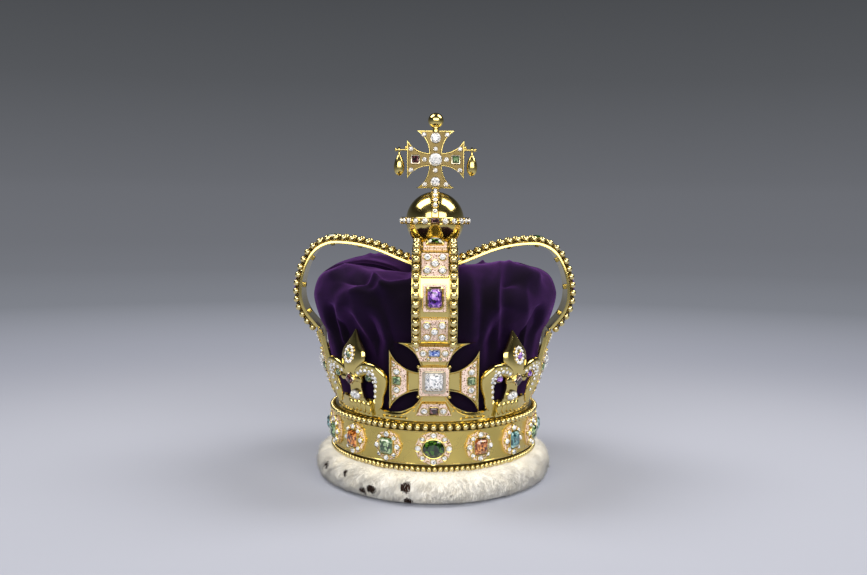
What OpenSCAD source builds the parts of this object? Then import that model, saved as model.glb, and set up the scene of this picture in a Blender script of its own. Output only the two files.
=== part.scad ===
// Arched crown: a jewelled gold band on a roll of white fur, with four crosses, four lilies, two arches
// that dip at their crossing, an orb with a cross and two hanging drops, and a folded velvet cap inside.
// Millimetres, +Z up, standing on Z = 0 with its front towards -Y.

/* [Band] */
// Half the band's width, side to side, on its outer face
band_half_w = 84; // [83:0.5:86]
// Half the band's depth, front to back, on its outer face
band_half_d = 102; // [100:0.5:105]
// Height of the lower bead row above the table
low_bead_z = 25.6; // [25:0.1:26]
// Height of the upper bead row above the table
high_bead_z = 57.3; // [57:0.1:58]
// Thickness of the band's wall
band_wall = 3.4; // [3:0.1:3.6]
// Radius of the beads in the lower row
low_bead_r = 1.9; // [1.7:0.1:2]
// Radius of the beads in the upper row
high_bead_r = 2.45; // [2.2:0.05:2.5]

/* [Swagged wall above the band] */
// Angle by which the wall and the crosses lean out
lean = 13; // [12:0.5:14]
// Thickness of the swagged wall
wall_t = 2; // [1.8:0.1:2.2]
// Height of the wall behind the crosses
wall_top_z = 84; // [82:0.5:86]
// Height of the wall behind the lilies
lily_wall_z = 75; // [74:0.5:77]
// Height of the lowest point of a swag
swag_low_z = 67; // [66:0.5:68]
// Radius of a swag's curve
swag_r = 25.8; // [25:0.2:26.4]

/* [Crosses on the band] */
// Half the width of a cross across its side arms
cross_half_w = 34; // [33:0.5:35]
// Half the height of a cross
cross_half_h = 29.8; // [29.4:0.2:30.2]
// Height of a cross's centre
cross_z = 93.2; // [92.6:0.2:93.8]
// Half the width of the upright arms at their necks
cross_neck_w = 9.5; // [9:0.1:10]
// Half the height of the side arms at their necks
cross_neck_h = 7.3; // [7:0.1:8]
// Thickness of a cross's plate
cross_t = 2.5; // [2.2:0.1:2.8]

/* [Lilies on the band] */
// Height of a lily's tip
lily_tip_z = 126.5; // [125.5:0.5:127]
// Half the width of a lily between the middles of its side petals
lily_half_w = 31; // [30:0.5:32]

/* [Arches] */
// How far the arches reach out past the band
arch_overhang = 33.7; // [33:0.1:34.5]
// Height where the arches are widest
arch_wide_z = 152.4; // [151:0.2:154]
// Width of an arch
arch_w = 34; // [33:0.5:35]
// Drop from an arch's top to the crossing
arch_dip = 25; // [24:0.5:25]
// Radius of the beads on the arches
arch_bead_r = 2.9; // [2.7:0.1:2.9]
// Spacing of the beads on the arches
arch_bead_pitch = 6.8; // [6.6:0.1:7.2]

/* [Orb and top cross] */
// Radius of the orb
orb_r = 24.4; // [24:0.1:24.6]
// Height of the orb's centre
orb_z = 212; // [211.5:0.1:212.5]
// Half the width of the top cross
top_half_w = 23.9; // [23.4:0.1:24.1]
// Half the height of the top cross
top_half_h = 24; // [23.6:0.1:24.2]
// Radius of the gold bead on the top cross
top_bead_r = 6.5; // [6:0.1:6.8]

/* [Hanging drops] */
// Largest radius of a drop
drop_r = 5.3; // [5:0.05:5.5]
// Length of a drop below its eye
drop_l = 18.4; // [17.5:0.1:19]

/* [Fur roll] */
// How far the fur reaches out past the band's face
fur_out = 13; // [12:0.5:14]
// Height of the fur
fur_h = 23; // [22:0.5:23]
// Depth of the partings between the locks
fur_lock = 1.3; // [0.8:0.1:1.6]

/* [Velvet cap] */
// Half the width of the cap where it is fullest
cap_half_w = 101; // [99:0.5:102]
// Height of the cap's soft top
cap_top_z = 175; // [173:0.5:176]
// Thickness of the velvet with its backing
cap_t = 2; // [1.6:0.1:2.4]

/* [Hidden] */
$fn = 48;
stone_gap = 0.1;
side_names = ["right", "back", "left", "front"];
side_angles = [0, 90, 180, 270];

// The band's plan is an oval of four arcs. Every ring of the crown is a parallel of it, so a place on the
// crown is given by the direction phi that the band faces there, its distance out from the band's face and
// its height. The arcs meet on lines that rise 4 for every 3, so that both arcs have the same tangent
// there.
oval_unit = (band_half_d - band_half_w) / 2;
end_centre = 4 * oval_unit;
side_centre = 3 * oval_unit;
end_radius = band_half_d - end_centre;
side_radius = band_half_w + side_centre;
change_angle = atan2(4, 3);
deg = 180 / PI;

function sign_of(v) = v < 0 ? -1 : 1;
function on_side(phi) = acos(abs(cos(phi))) <= change_angle;
function local_radius(phi) = on_side(phi) ? side_radius : end_radius;
function oval(phi, out = 0) = on_side(phi)
    ? [-sign_of(cos(phi)) * side_centre + (side_radius + out) * cos(phi), (side_radius + out) * sin(phi)]
    : [(end_radius + out) * cos(phi), sign_of(sin(phi)) * end_centre + (end_radius + out) * sin(phi)];

// Direction at a share of the way round, from 0 at the right, measured along the band
side_run = side_radius * change_angle / deg;
end_run = end_radius * (90 - change_angle) / deg;
function quarter_phi(f) = let (run = f * (side_run + end_run))
    run < side_run ? run / side_radius * deg : change_angle + (run - side_run) / end_radius * deg;
function round_phi(share) = let (q = floor(share * 4), f = share * 4 - q)
    q % 2 == 0 ? 90 * q + quarter_phi(f) : 90 * (q + 1) - quarter_phi(1 - f);

// Shares at which the lilies stand, a little nearer to the front and back crosses than to the side ones
lily_shift = 0.0086;
lily_shares = [for (i = [0 : 3]) 0.125 + 0.25 * i + (i % 2 == 0 ? lily_shift : -lily_shift)];

// A ring round the oval, whose section's X is the distance out from the band's face
far = 300;
module oval_ring() {
    for (side = [-1, 1]) {
        intersection() {
            translate([-side * side_centre, 0]) rotate_extrude() translate([side_radius, 0]) children();
            linear_extrude(far) polygon([[-side * side_centre, 0],
                [side * (0.6 * far - side_centre), -0.8 * far],
                [side * far, -0.8 * far], [side * far, 0.8 * far],
                [side * (0.6 * far - side_centre), 0.8 * far]]);
        }
        intersection() {
            translate([0, side * end_centre]) rotate_extrude() translate([end_radius, 0]) children();
            linear_extrude(far) polygon([[0, side * end_centre], [0.6 * far, side * (0.8 * far + end_centre)],
                [-0.6 * far, side * (0.8 * far + end_centre)]]);
        }
    }
}

// A place on the crown, with X along the band, Y up and Z straight out
module seat(phi, out, z, tilt = 0) {
    place = oval(phi, out);
    translate([place.x, place.y, z]) rotate([90 + tilt, 0, phi + 90]) children();
}

// Closed solid through equal rings of points, from the first ring to the last
function ring_faces(rings, sides) = [for (r = [0 : rings - 2], s = [0 : sides - 1])
    [r * sides + s, r * sides + (s + 1) % sides, (r + 1) * sides + (s + 1) % sides, (r + 1) * sides + s]];
module loft(rings) {
    sides = len(rings[0]);
    count = len(rings);
    polyhedron([for (ring = rings) each ring], concat(
        ring_faces(count, sides),
        [[for (s = [sides - 1 : -1 : 0]) s], [for (s = [0 : sides - 1]) (count - 1) * sides + s]]),
        convexity = 6);
}

function eight_sides(w, l, cut) = [[w / 2, cut - l / 2], [w / 2, l / 2 - cut], [w / 2 - cut, l / 2],
    [cut - w / 2, l / 2], [-w / 2, l / 2 - cut], [-w / 2, cut - l / 2], [cut - w / 2, -l / 2],
    [w / 2 - cut, -l / 2]];

// Cut stone with eight sides, bevelled up to a flat table. Rows of the steps: share of the size, share of
// the height.
fine_steps = [[1, 0], [0.6, 1]];
main_steps = [[1, 0], [0.88, 0.55], [0.58, 1]];
even_corner = 0.2929;
module cut_stone(w, l, h, steps = fine_steps, corner = even_corner) {
    outline = eight_sides(w, l, corner * min(w, l));
    loft([for (step = steps) [for (i = [7 : -1 : 0]) [outline[i].x * step[0], outline[i].y * step[0],
        h * step[1]]]]);
}

// Fur roll: locks that part along slanted lines round a roll with a flat underside.
// Section rows: distance out as a share of its reach, height as a share, how much the partings show.
fur_inner = -4.5;
fur_section = [[0, 0, 0], [0.62, 0, 0], [0.9, 0.16, 0.7], [1, 0.42, 1], [0.93, 0.68, 1], [0.72, 0.92, 0.7],
    [0.4, 1, 0.2], [0, 0.98, 0]];
fur_steps = 120;
fur_locks = 40;
function fur_parting(share, row) = fur_lock * row[2]
    * (abs(sin(180 * fur_locks * share + 70 * row[1])) - 1 + 0.3 * sin(360 * 7 * share));
module fur_band() {
    sides = len(fur_section);
    points = [for (i = [0 : fur_steps - 1], row = fur_section)
        let (share = i / fur_steps, place = oval(round_phi(share),
            fur_inner + (fur_out - fur_inner) * row[0] + fur_parting(share, row)))
        [place.x, place.y, fur_h * row[1]]];
    faces = [for (i = [0 : fur_steps - 1], s = [0 : sides - 1]) let (j = (i + 1) % fur_steps,
        t = (s + 1) % sides)
        [i * sides + s, i * sides + t, j * sides + t, j * sides + s]];
    color("ivory") polyhedron(points, faces, convexity = 8);
}

// Velvet cap: one hollow wall from inside the band, full above the crosses and hollowed under the crossing.
// Section rows: half width as a share of the fullest, height as a share of the top, depth of the folds
// there, how far the velvet is pressed in behind the lilies.
cap_section = [[0.77, 0.171, 0, 0], [0.77, 0.34, 0, 0], [0.8, 0.43, 0.5, 0], [0.82, 0.48, 1, 1],
    [0.85, 0.53, 1.5, 3],
    [0.89, 0.65, 1.8, 7.5], [0.905, 0.7, 2, 9.5], [0.955, 0.755, 3.5, 9], [1, 0.85, 6, 0],
    [0.985, 0.92, 7.5, 0],
    [0.93, 0.965, 8, 0], [0.8, 0.99, 7, 0], [0.6, 1, 5, 0], [0.4, 0.98, 3, 0], [0.2, 0.93, 1.2, 0]];
cap_centre_share = 0.9;
// Fold rows: direction it runs in, half its width in degrees, share of the depth, degrees it slants over
// its height
cap_folds = [[12, 12, 0.7, 20], [38, 9, 1, -15], [62, 12, 0.8, 25], [84, 9, 0.6, -10], [106, 10, 0.8, 18],
    [131, 12, 1, -22], [158, 10, 0.8, 12], [196, 12, 0.9, -20], [222, 10, 1, 16], [246, 12, 0.8, -18],
    [283, 9, 0.7, 14], [305, 11, 1, -24], [333, 11, 0.9, 16]];
cap_around = 64;
function turn_between(a, b) = abs((((a - b) % 360) + 540) % 360 - 180);
function fold_at(phi, up) = max([for (fold = cap_folds)
    let (off = turn_between(phi, fold[0] + fold[3] * (up - 0.8)) / fold[1])
    off < 1 ? fold[2] * (1 + cos(180 * off)) / 2 : 0]);
press_half = 22;
function pressed_at(phi) = max([for (share = lily_shares)
    let (off = turn_between(phi, round_phi(share)) / press_half) off < 1 ? min(1, 1 + cos(180 * off)) : 0]);
function cap_ring(half_w, z, row) = [for (i = [0 : cap_around - 1])
    let (phi = round_phi(i / cap_around), fold = row[2] * fold_at(phi, row[1]),
        place = oval(phi) * (half_w - fold - row[3] * pressed_at(phi)) / band_half_w)
    [place.x, place.y, z - fold * max(0, row[1] - 0.88) * 5]];
module velvet_cap() {
    rows = len(cap_section);
    outside = [for (row = cap_section) cap_ring(cap_half_w * row[0], cap_top_z * row[1], row)];
    inside = [for (i = [rows - 1 : -1 : 0]) let (row = cap_section[i],
        before = cap_section[max(0, i - 1)], after = cap_section[min(rows - 1, i + 1)],
        along = [(after[0] - before[0]) * cap_half_w, (after[1] - before[1]) * cap_top_z],
        inward = [-along.y, along.x] / norm(along) * cap_t)
        cap_ring(cap_half_w * row[0] + inward.x, cap_top_z * row[1] + (i == 0 ? 0 : inward.y), row)];
    points = concat([for (ring = outside) each ring], [[0, 0, cap_top_z * cap_centre_share]],
        [for (ring = inside) each ring], [[0, 0, cap_top_z * cap_centre_share - cap_t]]);
    n = cap_around;
    top = rows * n;
    low = top + 1;
    under = low + rows * n;
    color("purple") polyhedron(points, concat(
        [for (r = [0 : rows - 2], i = [0 : n - 1]) let (j = (i + 1) % n) [r * n + j, r * n + i,
        r * n + n + i, r * n + n + j]],
        [for (i = [0 : n - 1]) let (j = (i + 1) % n) [top - n + j, top - n + i, top]],
        [for (r = [0 : rows - 2], i = [0 : n - 1]) let (j = (i + 1) % n)
            [low + r * n + j, low + r * n + i, low + r * n + n + i, low + r * n + n + j]],
        [for (i = [0 : n - 1]) let (j = (i + 1) % n) [low + i, low + j, under]],
        [for (i = [0 : n - 1]) let (j = (i + 1) % n) [i, j, under - n + j, under - n + i]]), convexity = 10);
}

// Band: a wall with a groove for each bead row and, above it, the wall that leans out in swags
groove = 1.4;
groove_half = 2.7;
foot_z = low_bead_z - groove_half + 0.2;
neck_out = -3.4;
neck_z = high_bead_z + groove_half + 0.6;
function wall_out(z) = neck_out + (z - neck_z) * tan(lean);
swag_share = 0.0683;
swag_depth = 60;
module swag_cut(share) {
    seat(round_phi(share), 0, swag_low_z + swag_r) cylinder(r = swag_r, h = swag_depth, center = true);
}
module lily_cut(share) {
    seat(round_phi(share), 0, lily_wall_z) translate([-swag_r, 0, -swag_depth / 2])
        cube([2 * swag_r, wall_top_z, swag_depth]);
}
module band() {
    color("gold") difference() {
        oval_ring() polygon([[-band_wall, foot_z], [0.6, foot_z], [0.6, foot_z + 0.6], [-groove, foot_z + 0.6],
            [-groove, low_bead_z + groove_half], [0, low_bead_z + groove_half], [0, high_bead_z - groove_half],
            [-groove, high_bead_z - groove_half], [-groove, neck_z - 1], [neck_out, neck_z],
            [wall_out(wall_top_z), wall_top_z], [wall_out(wall_top_z) - wall_t, wall_top_z],
            [neck_out - wall_t, neck_z], [neck_out - wall_t, neck_z - 2], [-band_wall, neck_z - 5]]);
        for (i = [0 : 3], side = [-1, 1]) swag_cut(0.125 + 0.25 * i + side * swag_share);
        for (share = lily_shares) lily_cut(share);
    }
}
module bead_tube(r, z) {
    oval_ring() translate([-groove + 0.1 + r, z]) circle(r);
}

// Clusters on the band, which repeat after eight. Rows: width and height of the middle stone, colour.
cluster_rows = [[12, 12.5, "teal"], [11, 12, "seagreen"], [12, 13, "darkorange"], [11, 12, "seagreen"],
    [11, 12, "seagreen"], [11.5, 12, "darkorange"], [11, 13, "teal"], [11, 12, "seagreen"]];
front_cluster = [16, 14, "darkgreen"];
cluster_count = 16;
cluster_front = 12;
cluster_z = (low_bead_z + high_bead_z) / 2;
cluster_t = 2.2;
cup_h = 1.2;
cup_rim = 0.4;
small_w = 5;
tiny_w = 4.2;
stone_h = 1.5;
petal_rim = 0.2;
petal_shift = 0.35;
function cluster(i) = i % cluster_count == cluster_front ? front_cluster : cluster_rows[i % len(cluster_rows)];
function cluster_phi(i) = round_phi((i % cluster_count) / cluster_count);
function petal(row, k) = [(row[0] / 2 + 3) * cos(45 * k), (row[1] / 2 + 2.7) * sin(45 * k)];
function petal_w(k) = k % 2 == 0 ? small_w : tiny_w;
module band_settings() {
    color("mistyrose") for (i = [0 : cluster_count - 1]) seat(cluster_phi(i), stone_gap, cluster_z) {
        row = cluster(i);
        for (k = [0 : 7]) translate([petal(row, k).x, petal(row, k).y, 0])
            cylinder(d = petal_w(k) + 1.4, h = cluster_t);
        linear_extrude(cluster_t + cup_h)
            polygon(eight_sides(row[0] + 2 * cup_rim, row[1] + 2 * cup_rim, even_corner * min(row[0], row[1])));
    }
}
module band_small_stones() {
    color("white") for (i = [0 : cluster_count - 1], k = [0 : 7]) let (row = cluster(i))
        seat(cluster_phi(i), 2 * stone_gap + cluster_t, cluster_z)
            translate([petal(row, k).x + petal_shift * cos(45 * k),
                petal(row, k).y + petal_shift * sin(45 * k), 0])
                cut_stone(petal_w(k) - 2 * petal_rim, petal_w(k) - 2 * petal_rim, stone_h);
}
module band_stone(i) {
    row = cluster(i);
    color(row[2]) seat(cluster_phi(i), 2 * stone_gap + cluster_t + cup_h, cluster_z)
        cut_stone(row[0], row[1], 2 * stone_h, main_steps);
}

// Crosses on the band: a plate cut from the leaning wall's own curve, with a raised edge and a boss
cross_top_half = 31;
cross_arm_half = 25;
cross_edge = 1.8;
cross_edge_t = 1;
boss_w = 22;
boss_t = 2;
// Radius of an arm's hollow side, which leaves the neck along the arm and ends at the arm's tip
function hollow_r(along, aside) = (along * along + aside * aside) / (2 * aside);
// The sharp corners are clipped, and the prism reaches through the whole leaning wall
corner_clip = 3;
cross_cut_t = 70;
// Prism of a cross with hollow-sided arms: half sizes, tips of the upright and side arms, necks, inset,
// thickness
module cross_prism(half, tips, necks, inset, t) {
    upright_r = hollow_r(half.y - necks.y, tips.x - necks.x);
    side_r = hollow_r(half.x - necks.x, tips.y - necks.y);
    difference() {
        cube([2 * (half.x - inset), 2 * (half.y - inset), t], center = true);
        for (sx = [0, 1], sy = [0, 1]) mirror([sx, 0, 0]) mirror([0, sy, 0]) intersection() {
            translate([necks.x + upright_r, necks.y, 0]) cylinder(r = upright_r + inset, h = 2 * t,
                center = true);
            translate([necks.x, necks.y + side_r, 0]) cylinder(r = side_r + inset, h = 2 * t, center = true);
        }
        for (sx = [-1, 1], sy = [-1, 1]) translate([sx * half.x, sy * half.y, 0])
            cube([corner_clip, corner_clip, 2 * t], center = true);
    }
}
module band_cross_prism(inset) {
    cross_prism([cross_half_w, cross_half_h], [cross_top_half, cross_arm_half],
        [cross_neck_w, cross_neck_h], inset, cross_cut_t);
}
module leaning_shell(from, to) {
    low = neck_z + 0.3;
    high = cross_z + cross_half_h + 1;
    oval_ring() polygon([[wall_out(low) + from, low], [wall_out(low) + to, low], [wall_out(high) + to, high],
        [wall_out(high) + from, high]]);
}
// How deep the boss sits in the curved plate.
boss_sunk = 1.4;
module cross_boss(phi) {
    seat(phi, wall_out(cross_z) + cross_t - boss_sunk, cross_z, lean) {
        translate([-boss_w / 2, -boss_w / 2, 0]) cube([boss_w, boss_w, boss_t + boss_sunk]);
        for (k = [0 : 3]) rotate(90 * k) translate([boss_w / 2, 0, 0]) cylinder(r = 3, h = boss_t + boss_sunk);
    }
}
module band_cross(i) {
    phi = side_angles[i];
    color("gold") union() {
        intersection() {
            leaning_shell(stone_gap, cross_t);
            seat(phi, 0, cross_z) band_cross_prism(0);
        }
        intersection() {
            leaning_shell(cross_t - 0.3, cross_t + cross_edge_t);
            seat(phi, 0, cross_z) difference() {
                band_cross_prism(0);
                band_cross_prism(cross_edge);
            }
        }
        cross_boss(phi);
    }
}
module cross_stone(i) {
    color("whitesmoke") seat(side_angles[i], wall_out(cross_z) + cross_t + boss_t + stone_gap, cross_z, lean)
        cut_stone(14, 14, 3, main_steps, 0.15);
}
// Stones of a cross's arms. Rows: distance along the band, height from the centre, width, height, colour.
arm_stones = [[0, 22, 8.4, 6, "royalblue"], [-8.4, 22, 4.8, 4.8, "white"], [8.4, 22, 4.8, 4.8, "white"],
    [-28.4, 0, 6, 6.5, "seagreen"], [-28.2, 7.4, 5, 5, "white"], [-28.2, -7.4, 5, 5, "white"],
    [28.4, 0, 6, 6.5, "seagreen"], [28.2, 7.4, 5, 5, "white"], [28.2, -7.4, 5, 5, "white"],
    [0, -24.4, 7, 6.5, "darkred"], [-8.2, -24.4, 5, 5, "white"], [8.2, -24.4, 5, 5, "white"]];
module cross_small_stones() {
    for (phi = side_angles, row = arm_stones) {
        z = cross_z + row[1];
        turned = phi + row[0] / (local_radius(phi) + wall_out(z)) * deg;
        color(row[4]) seat(turned, wall_out(z) + cross_t + 3 * stone_gap, z, lean) cut_stone(row[2], row[3],
            stone_h + 0.5);
    }
}

// Lilies: a flat foot, a knot, an upright petal and two that curl over and down, bent to the wall's own curve.
// Upright petal rows: height as a share, half width, half thickness, distance forward.
lily_petal = [[0.42, 4, 2.4, 1.8], [0.5, 8, 3.4, 1.8], [0.6, 12, 4.4, 0.6], [0.7, 14, 4.6, -1.2],
    [0.78, 13.2, 4.4, -3], [0.84, 9.5, 3.8, -4.6], [0.92, 4.8, 2.6, -6.8], [1, 0.9, 0.9, -9]];
// Side petal rows: distance out and height as shares, half width, half thickness, distance forward
lily_curl = [[0.06, 0.47, 3, 2.2, 1.5], [0.29, 0.547, 4.2, 3, 2], [0.55, 0.61, 5, 3.4, 2.8],
    [0.8, 0.605, 5.4, 3.6, 3],
    [0.94, 0.525, 5.6, 3.6, 3], [0.91, 0.415, 5.2, 3.4, 2.8], [0.83, 0.3, 4.4, 3, 2.6], [0.8, 0.2, 3.6, 2.6, 3],
    [0.76, 0.14, 1.6, 1.6, 4]];
petal_sides = 8;
girth = 4 * (side_run + end_run);
lily_h = (lily_tip_z - neck_z) / cos(lean);
knot_y = 0.469 * lily_h;
// A point of a lily, with X along the band, Y up the wall and Z out of it, at its place on the crown
function on_wall(share, p) = let (
        out = wall_out(neck_z) + stone_gap + p.y * sin(lean) + p.z * cos(lean),
        place = oval(round_phi(share + p.x / girth), out))
    [place.x, place.y, neck_z + p.y * cos(lean) - p.z * sin(lean)];
module upright_petal(share) {
    loft([for (row = lily_petal) [for (s = [petal_sides - 1 : -1 : 0]) let (a = (s + 0.5) * 360 / petal_sides)
        on_wall(share, [row[1] * cos(a), row[0] * lily_h, row[3] - row[2] * sin(a)])]]);
}
module curled_petal(share, side) {
    count = len(lily_curl);
    loft([for (i = [0 : count - 1])
        let (row = lily_curl[i], a = lily_curl[max(0, i - 1)], b = lily_curl[min(count - 1, i + 1)],
            along = [(b[0] - a[0]) * lily_half_w, (b[1] - a[1]) * lily_h],
                across = [along.y, -along.x] / norm(along),
            mid = [row[0] * lily_half_w, row[1] * lily_h])
        [for (s = [petal_sides - 1 : -1 : 0])
            let (t = side * (s + 0.5) * 360 / petal_sides, flat = mid + across * row[2] * cos(t))
            on_wall(share, [side * flat.x, flat.y, row[4] - row[3] * sin(t)])]]);
}
module lily(i) {
    color("gold") union() {
        seat(round_phi(lily_shares[i]), wall_out(neck_z) + stone_gap, neck_z, lean) {
            linear_extrude(2.4) polygon([[-14, 1], [14, 1], [13, 10], [8, 16], [7, 24], [8, knot_y],
                [-8, knot_y], [-7, 24], [-8, 16], [-13, 10]]);
            translate([0, knot_y, 3]) rotate([0, 90, 0]) cylinder(r = 2.9, h = 23, center = true);
        }
        upright_petal(lily_shares[i]);
        for (side = [-1, 1]) curled_petal(lily_shares[i], side);
    }
}
// Stones of a lily. Rows: height as a share, distance forward, width, height, colour.
lily_stone_rows = [[0.845, 0.9, 4, 4, "white"], [0.75, 3.1, 6.5, 7.5, "green"], [0.469, 6.1, 5.6, 5, "black"],
    [0.265, 2.5, 9, 6.5, "white"]];
module lily_stones() {
    for (share = lily_shares, row = lily_stone_rows)
        color(row[4]) seat(round_phi(share), wall_out(neck_z) + stone_gap, neck_z, lean)
            translate([0, row[0] * lily_h, row[1] + stone_gap]) cut_stone(row[2], row[3], stone_h + 0.3);
}

// Arches: the line over the bead tops runs up a straight foot, round three arcs to the top, round a wide
// arc down to the dip and straight to the crossing. Every part of an arch lies at a depth under that line.
foot_heading = 49;
foot_l = 20;
low_r = 40;
side_r = 65;
side_turn = 30;
shoulder_r = 31;
dip_slope = 22.5;
rail_depth = 4.4;
channel_depth = 5.6;
inner_depth = 7.6;
rail_w = 6.6;
mitre_gap = 0.15;
stem_gap = 0.3;
function reach(i) = (i % 2 == 0 ? band_half_w : band_half_d) + arch_overhang;
function side_mid(i) = [reach(i) - side_r, arch_wide_z];
function shoulder_mid(i) = side_mid(i) + (side_r - shoulder_r) * [cos(side_turn), sin(side_turn)];
function dip_r(i) = (shoulder_mid(i).x * tan(dip_slope) - arch_dip) / (1 / cos(dip_slope) - 1);
// Arc rows: centre, radius, angle where it starts, angle it turns
function arch_arcs(i) = [
    [[reach(i) - low_r, arch_wide_z], low_r, foot_heading - 90, 90 - foot_heading],
    [side_mid(i), side_r, 0, side_turn], [shoulder_mid(i), shoulder_r, side_turn, 90 - side_turn],
    [shoulder_mid(i) - [0, dip_r(i) - shoulder_r], dip_r(i), 90, dip_slope]];
function at_arc(arc, angle, depth) = arc[0] + (arc[1] - depth) * [cos(angle), sin(angle)];
// Place and heading at a run along the beads' centres
function arc_run(arc) = (arc[1] - arch_bead_r) * arc[3] / deg;
function arch_place(arcs, k, run, depth) =
    k < 0 ? (run < foot_l ? let (p = at_arc(arcs[0], arcs[0][2], depth))
            [p - (foot_l - run) * [cos(foot_heading), sin(foot_heading)], foot_heading]
        : arch_place(arcs, 0, run - foot_l, depth))
    : k > 3 ? let (p = at_arc(arcs[3], arcs[3][2] + arcs[3][3], depth), h = 180 + dip_slope)
        [p + run * [cos(h), sin(h)], h]
    : run < arc_run(arcs[k]) ? let (a = arcs[k][2] + run / (arcs[k][1] - arch_bead_r) * deg)
        [at_arc(arcs[k], a, depth), a + 90]
    : arch_place(arcs, k + 1, run - arc_run(arcs[k]), depth);
function on_arch(i, run, depth) = arch_place(arch_arcs(i), -1, run, depth);

// A seat on an arch, with X along it towards the crossing, Y across it and Z out of its face
module arch_seat(i, run, depth, across = 0) {
    place = on_arch(i, run, depth);
    rotate(side_angles[i]) translate([place[0].x, 0, place[0].y]) rotate([0, -place[1], 0])
        translate([0, across, 0]) mirror([0, 0, 1]) mirror([0, 1, 0]) children();
}
// Outline of an arch between two depths, drawn through steps along it and run on past the crossing
strip_step = 4;
strip_steps = 62;
module arch_profile(i, outer, inner) {
    polygon(concat([for (k = [0 : strip_steps]) on_arch(i, k * strip_step, outer)[0]],
        [for (k = [strip_steps : -1 : 0]) on_arch(i, k * strip_step, inner)[0]]));
}
module arch_strip(i) {
    rail_mid = (arch_w - rail_w) / 2;
    rotate([90, 0, 0]) {
        linear_extrude(arch_w, center = true) arch_profile(i, channel_depth, inner_depth);
        for (side = [-1, 1]) translate([0, 0, side * rail_mid])
            linear_extrude(rail_w, center = true) arch_profile(i, rail_depth, channel_depth + 1);
    }
}
// Settings along an arch. Rows: run, length along it, width, whether it holds five stones or one, colour.
setting_rows = [[26, 20, 20, 5, "white"], [52, 20, 17, 1, "rebeccapurple"], [78, 20, 20, 5, "white"],
    [104, 19, 19, 1, "darkgreen"], [129, 16, 18, 0, "white"]];
setting_t = 2.2;
bead_start = 13.2;
bead_stop_x = 21;
bead_runs = [for (k = [0 : 27]) bead_start + k * arch_bead_pitch];
module arch(i) {
    half = arch_w / 2;
    color("gold") intersection() {
        union() {
            rotate(side_angles[i]) arch_strip(i);
            for (run = bead_runs) if (on_arch(i, run, arch_bead_r)[0].x > bead_stop_x)
                for (side = [-1, 1]) arch_seat(i, run, arch_bead_r,
                    side * (half - rail_w / 2)) sphere(arch_bead_r);
            for (row = setting_rows) arch_seat(i, row[0], channel_depth + 0.6)
                translate([-row[1] / 2, -row[2] / 2, 0]) cube([row[1], row[2], setting_t + 0.6]);
        }
        rotate(side_angles[i]) translate([0, 0, cross_z + cross_half_h + stone_gap])
            linear_extrude(far) difference() {
            polygon([[mitre_gap, 0], [far + mitre_gap, far], [far + mitre_gap, -far]]);
            circle(stem_r + stem_gap);
        }
    }
}
module arch_stone(i, which) {
    row = setting_rows[which];
    color(row[4]) arch_seat(i, row[0], channel_depth - setting_t - stone_gap)
        cut_stone(row[1] - 7, row[2] - 7, 3, main_steps, 0.22);
}
quincunx = [[0, 0, 6], [6, 6, 5.4], [-6, 6, 5.4], [6, -6, 5.4], [-6, -6, 5.4]];
module arch_small_stones() {
    color("white") for (i = [0 : 3], row = setting_rows) if (row[3] == 5)
        arch_seat(i, row[0], channel_depth - setting_t - stone_gap)
            for (spot = quincunx) translate([spot.x, spot.y, 0]) cut_stone(spot.z, spot.z, stone_h + 0.4);
}

// Orb: a ball with a jewel band round it and one over its top, and a stem that is screwed through the crossing
stem_r = 4;
nut_r = 7;
nut_h = 4;
orb_band_r = 27.2;
orb_band_h = 7;
half_band_w = 6.4;
half_band_r = 26;
crossing_z = shoulder_mid(0).y + shoulder_r - arch_dip;
module orb() {
    floor_z = crossing_z - channel_depth / cos(dip_slope);
    under_z = crossing_z - inner_depth / cos(dip_slope) - stone_gap;
    color("gold") union() {
        translate([0, 0, orb_z]) {
            sphere(orb_r, $fn = 96);
            translate([0, 0, -orb_band_h / 2]) cylinder(r = orb_band_r, h = orb_band_h, $fn = 96);
            intersection() {
                rotate([0, 90, 0]) cylinder(r = half_band_r, h = half_band_w, center = true, $fn = 96);
                translate([-half_band_w, -orb_r * 2, 0]) cube([2 * half_band_w, orb_r * 4, orb_r * 2]);
            }
        }
        rotate_extrude() polygon([[0, under_z - 5], [stem_r, under_z - 5],
            [stem_r, floor_z + stem_r * tan(dip_slope) + 0.2],
            [10, floor_z + 10 * tan(dip_slope) + 0.2], [10, floor_z + 7], [6, floor_z + 10],
            [8, orb_z - 20], [0, orb_z - 20]]);
        translate([0, 0, under_z - nut_h]) cylinder(r = nut_r, h = nut_h, $fn = 6);
    }
}

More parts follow.
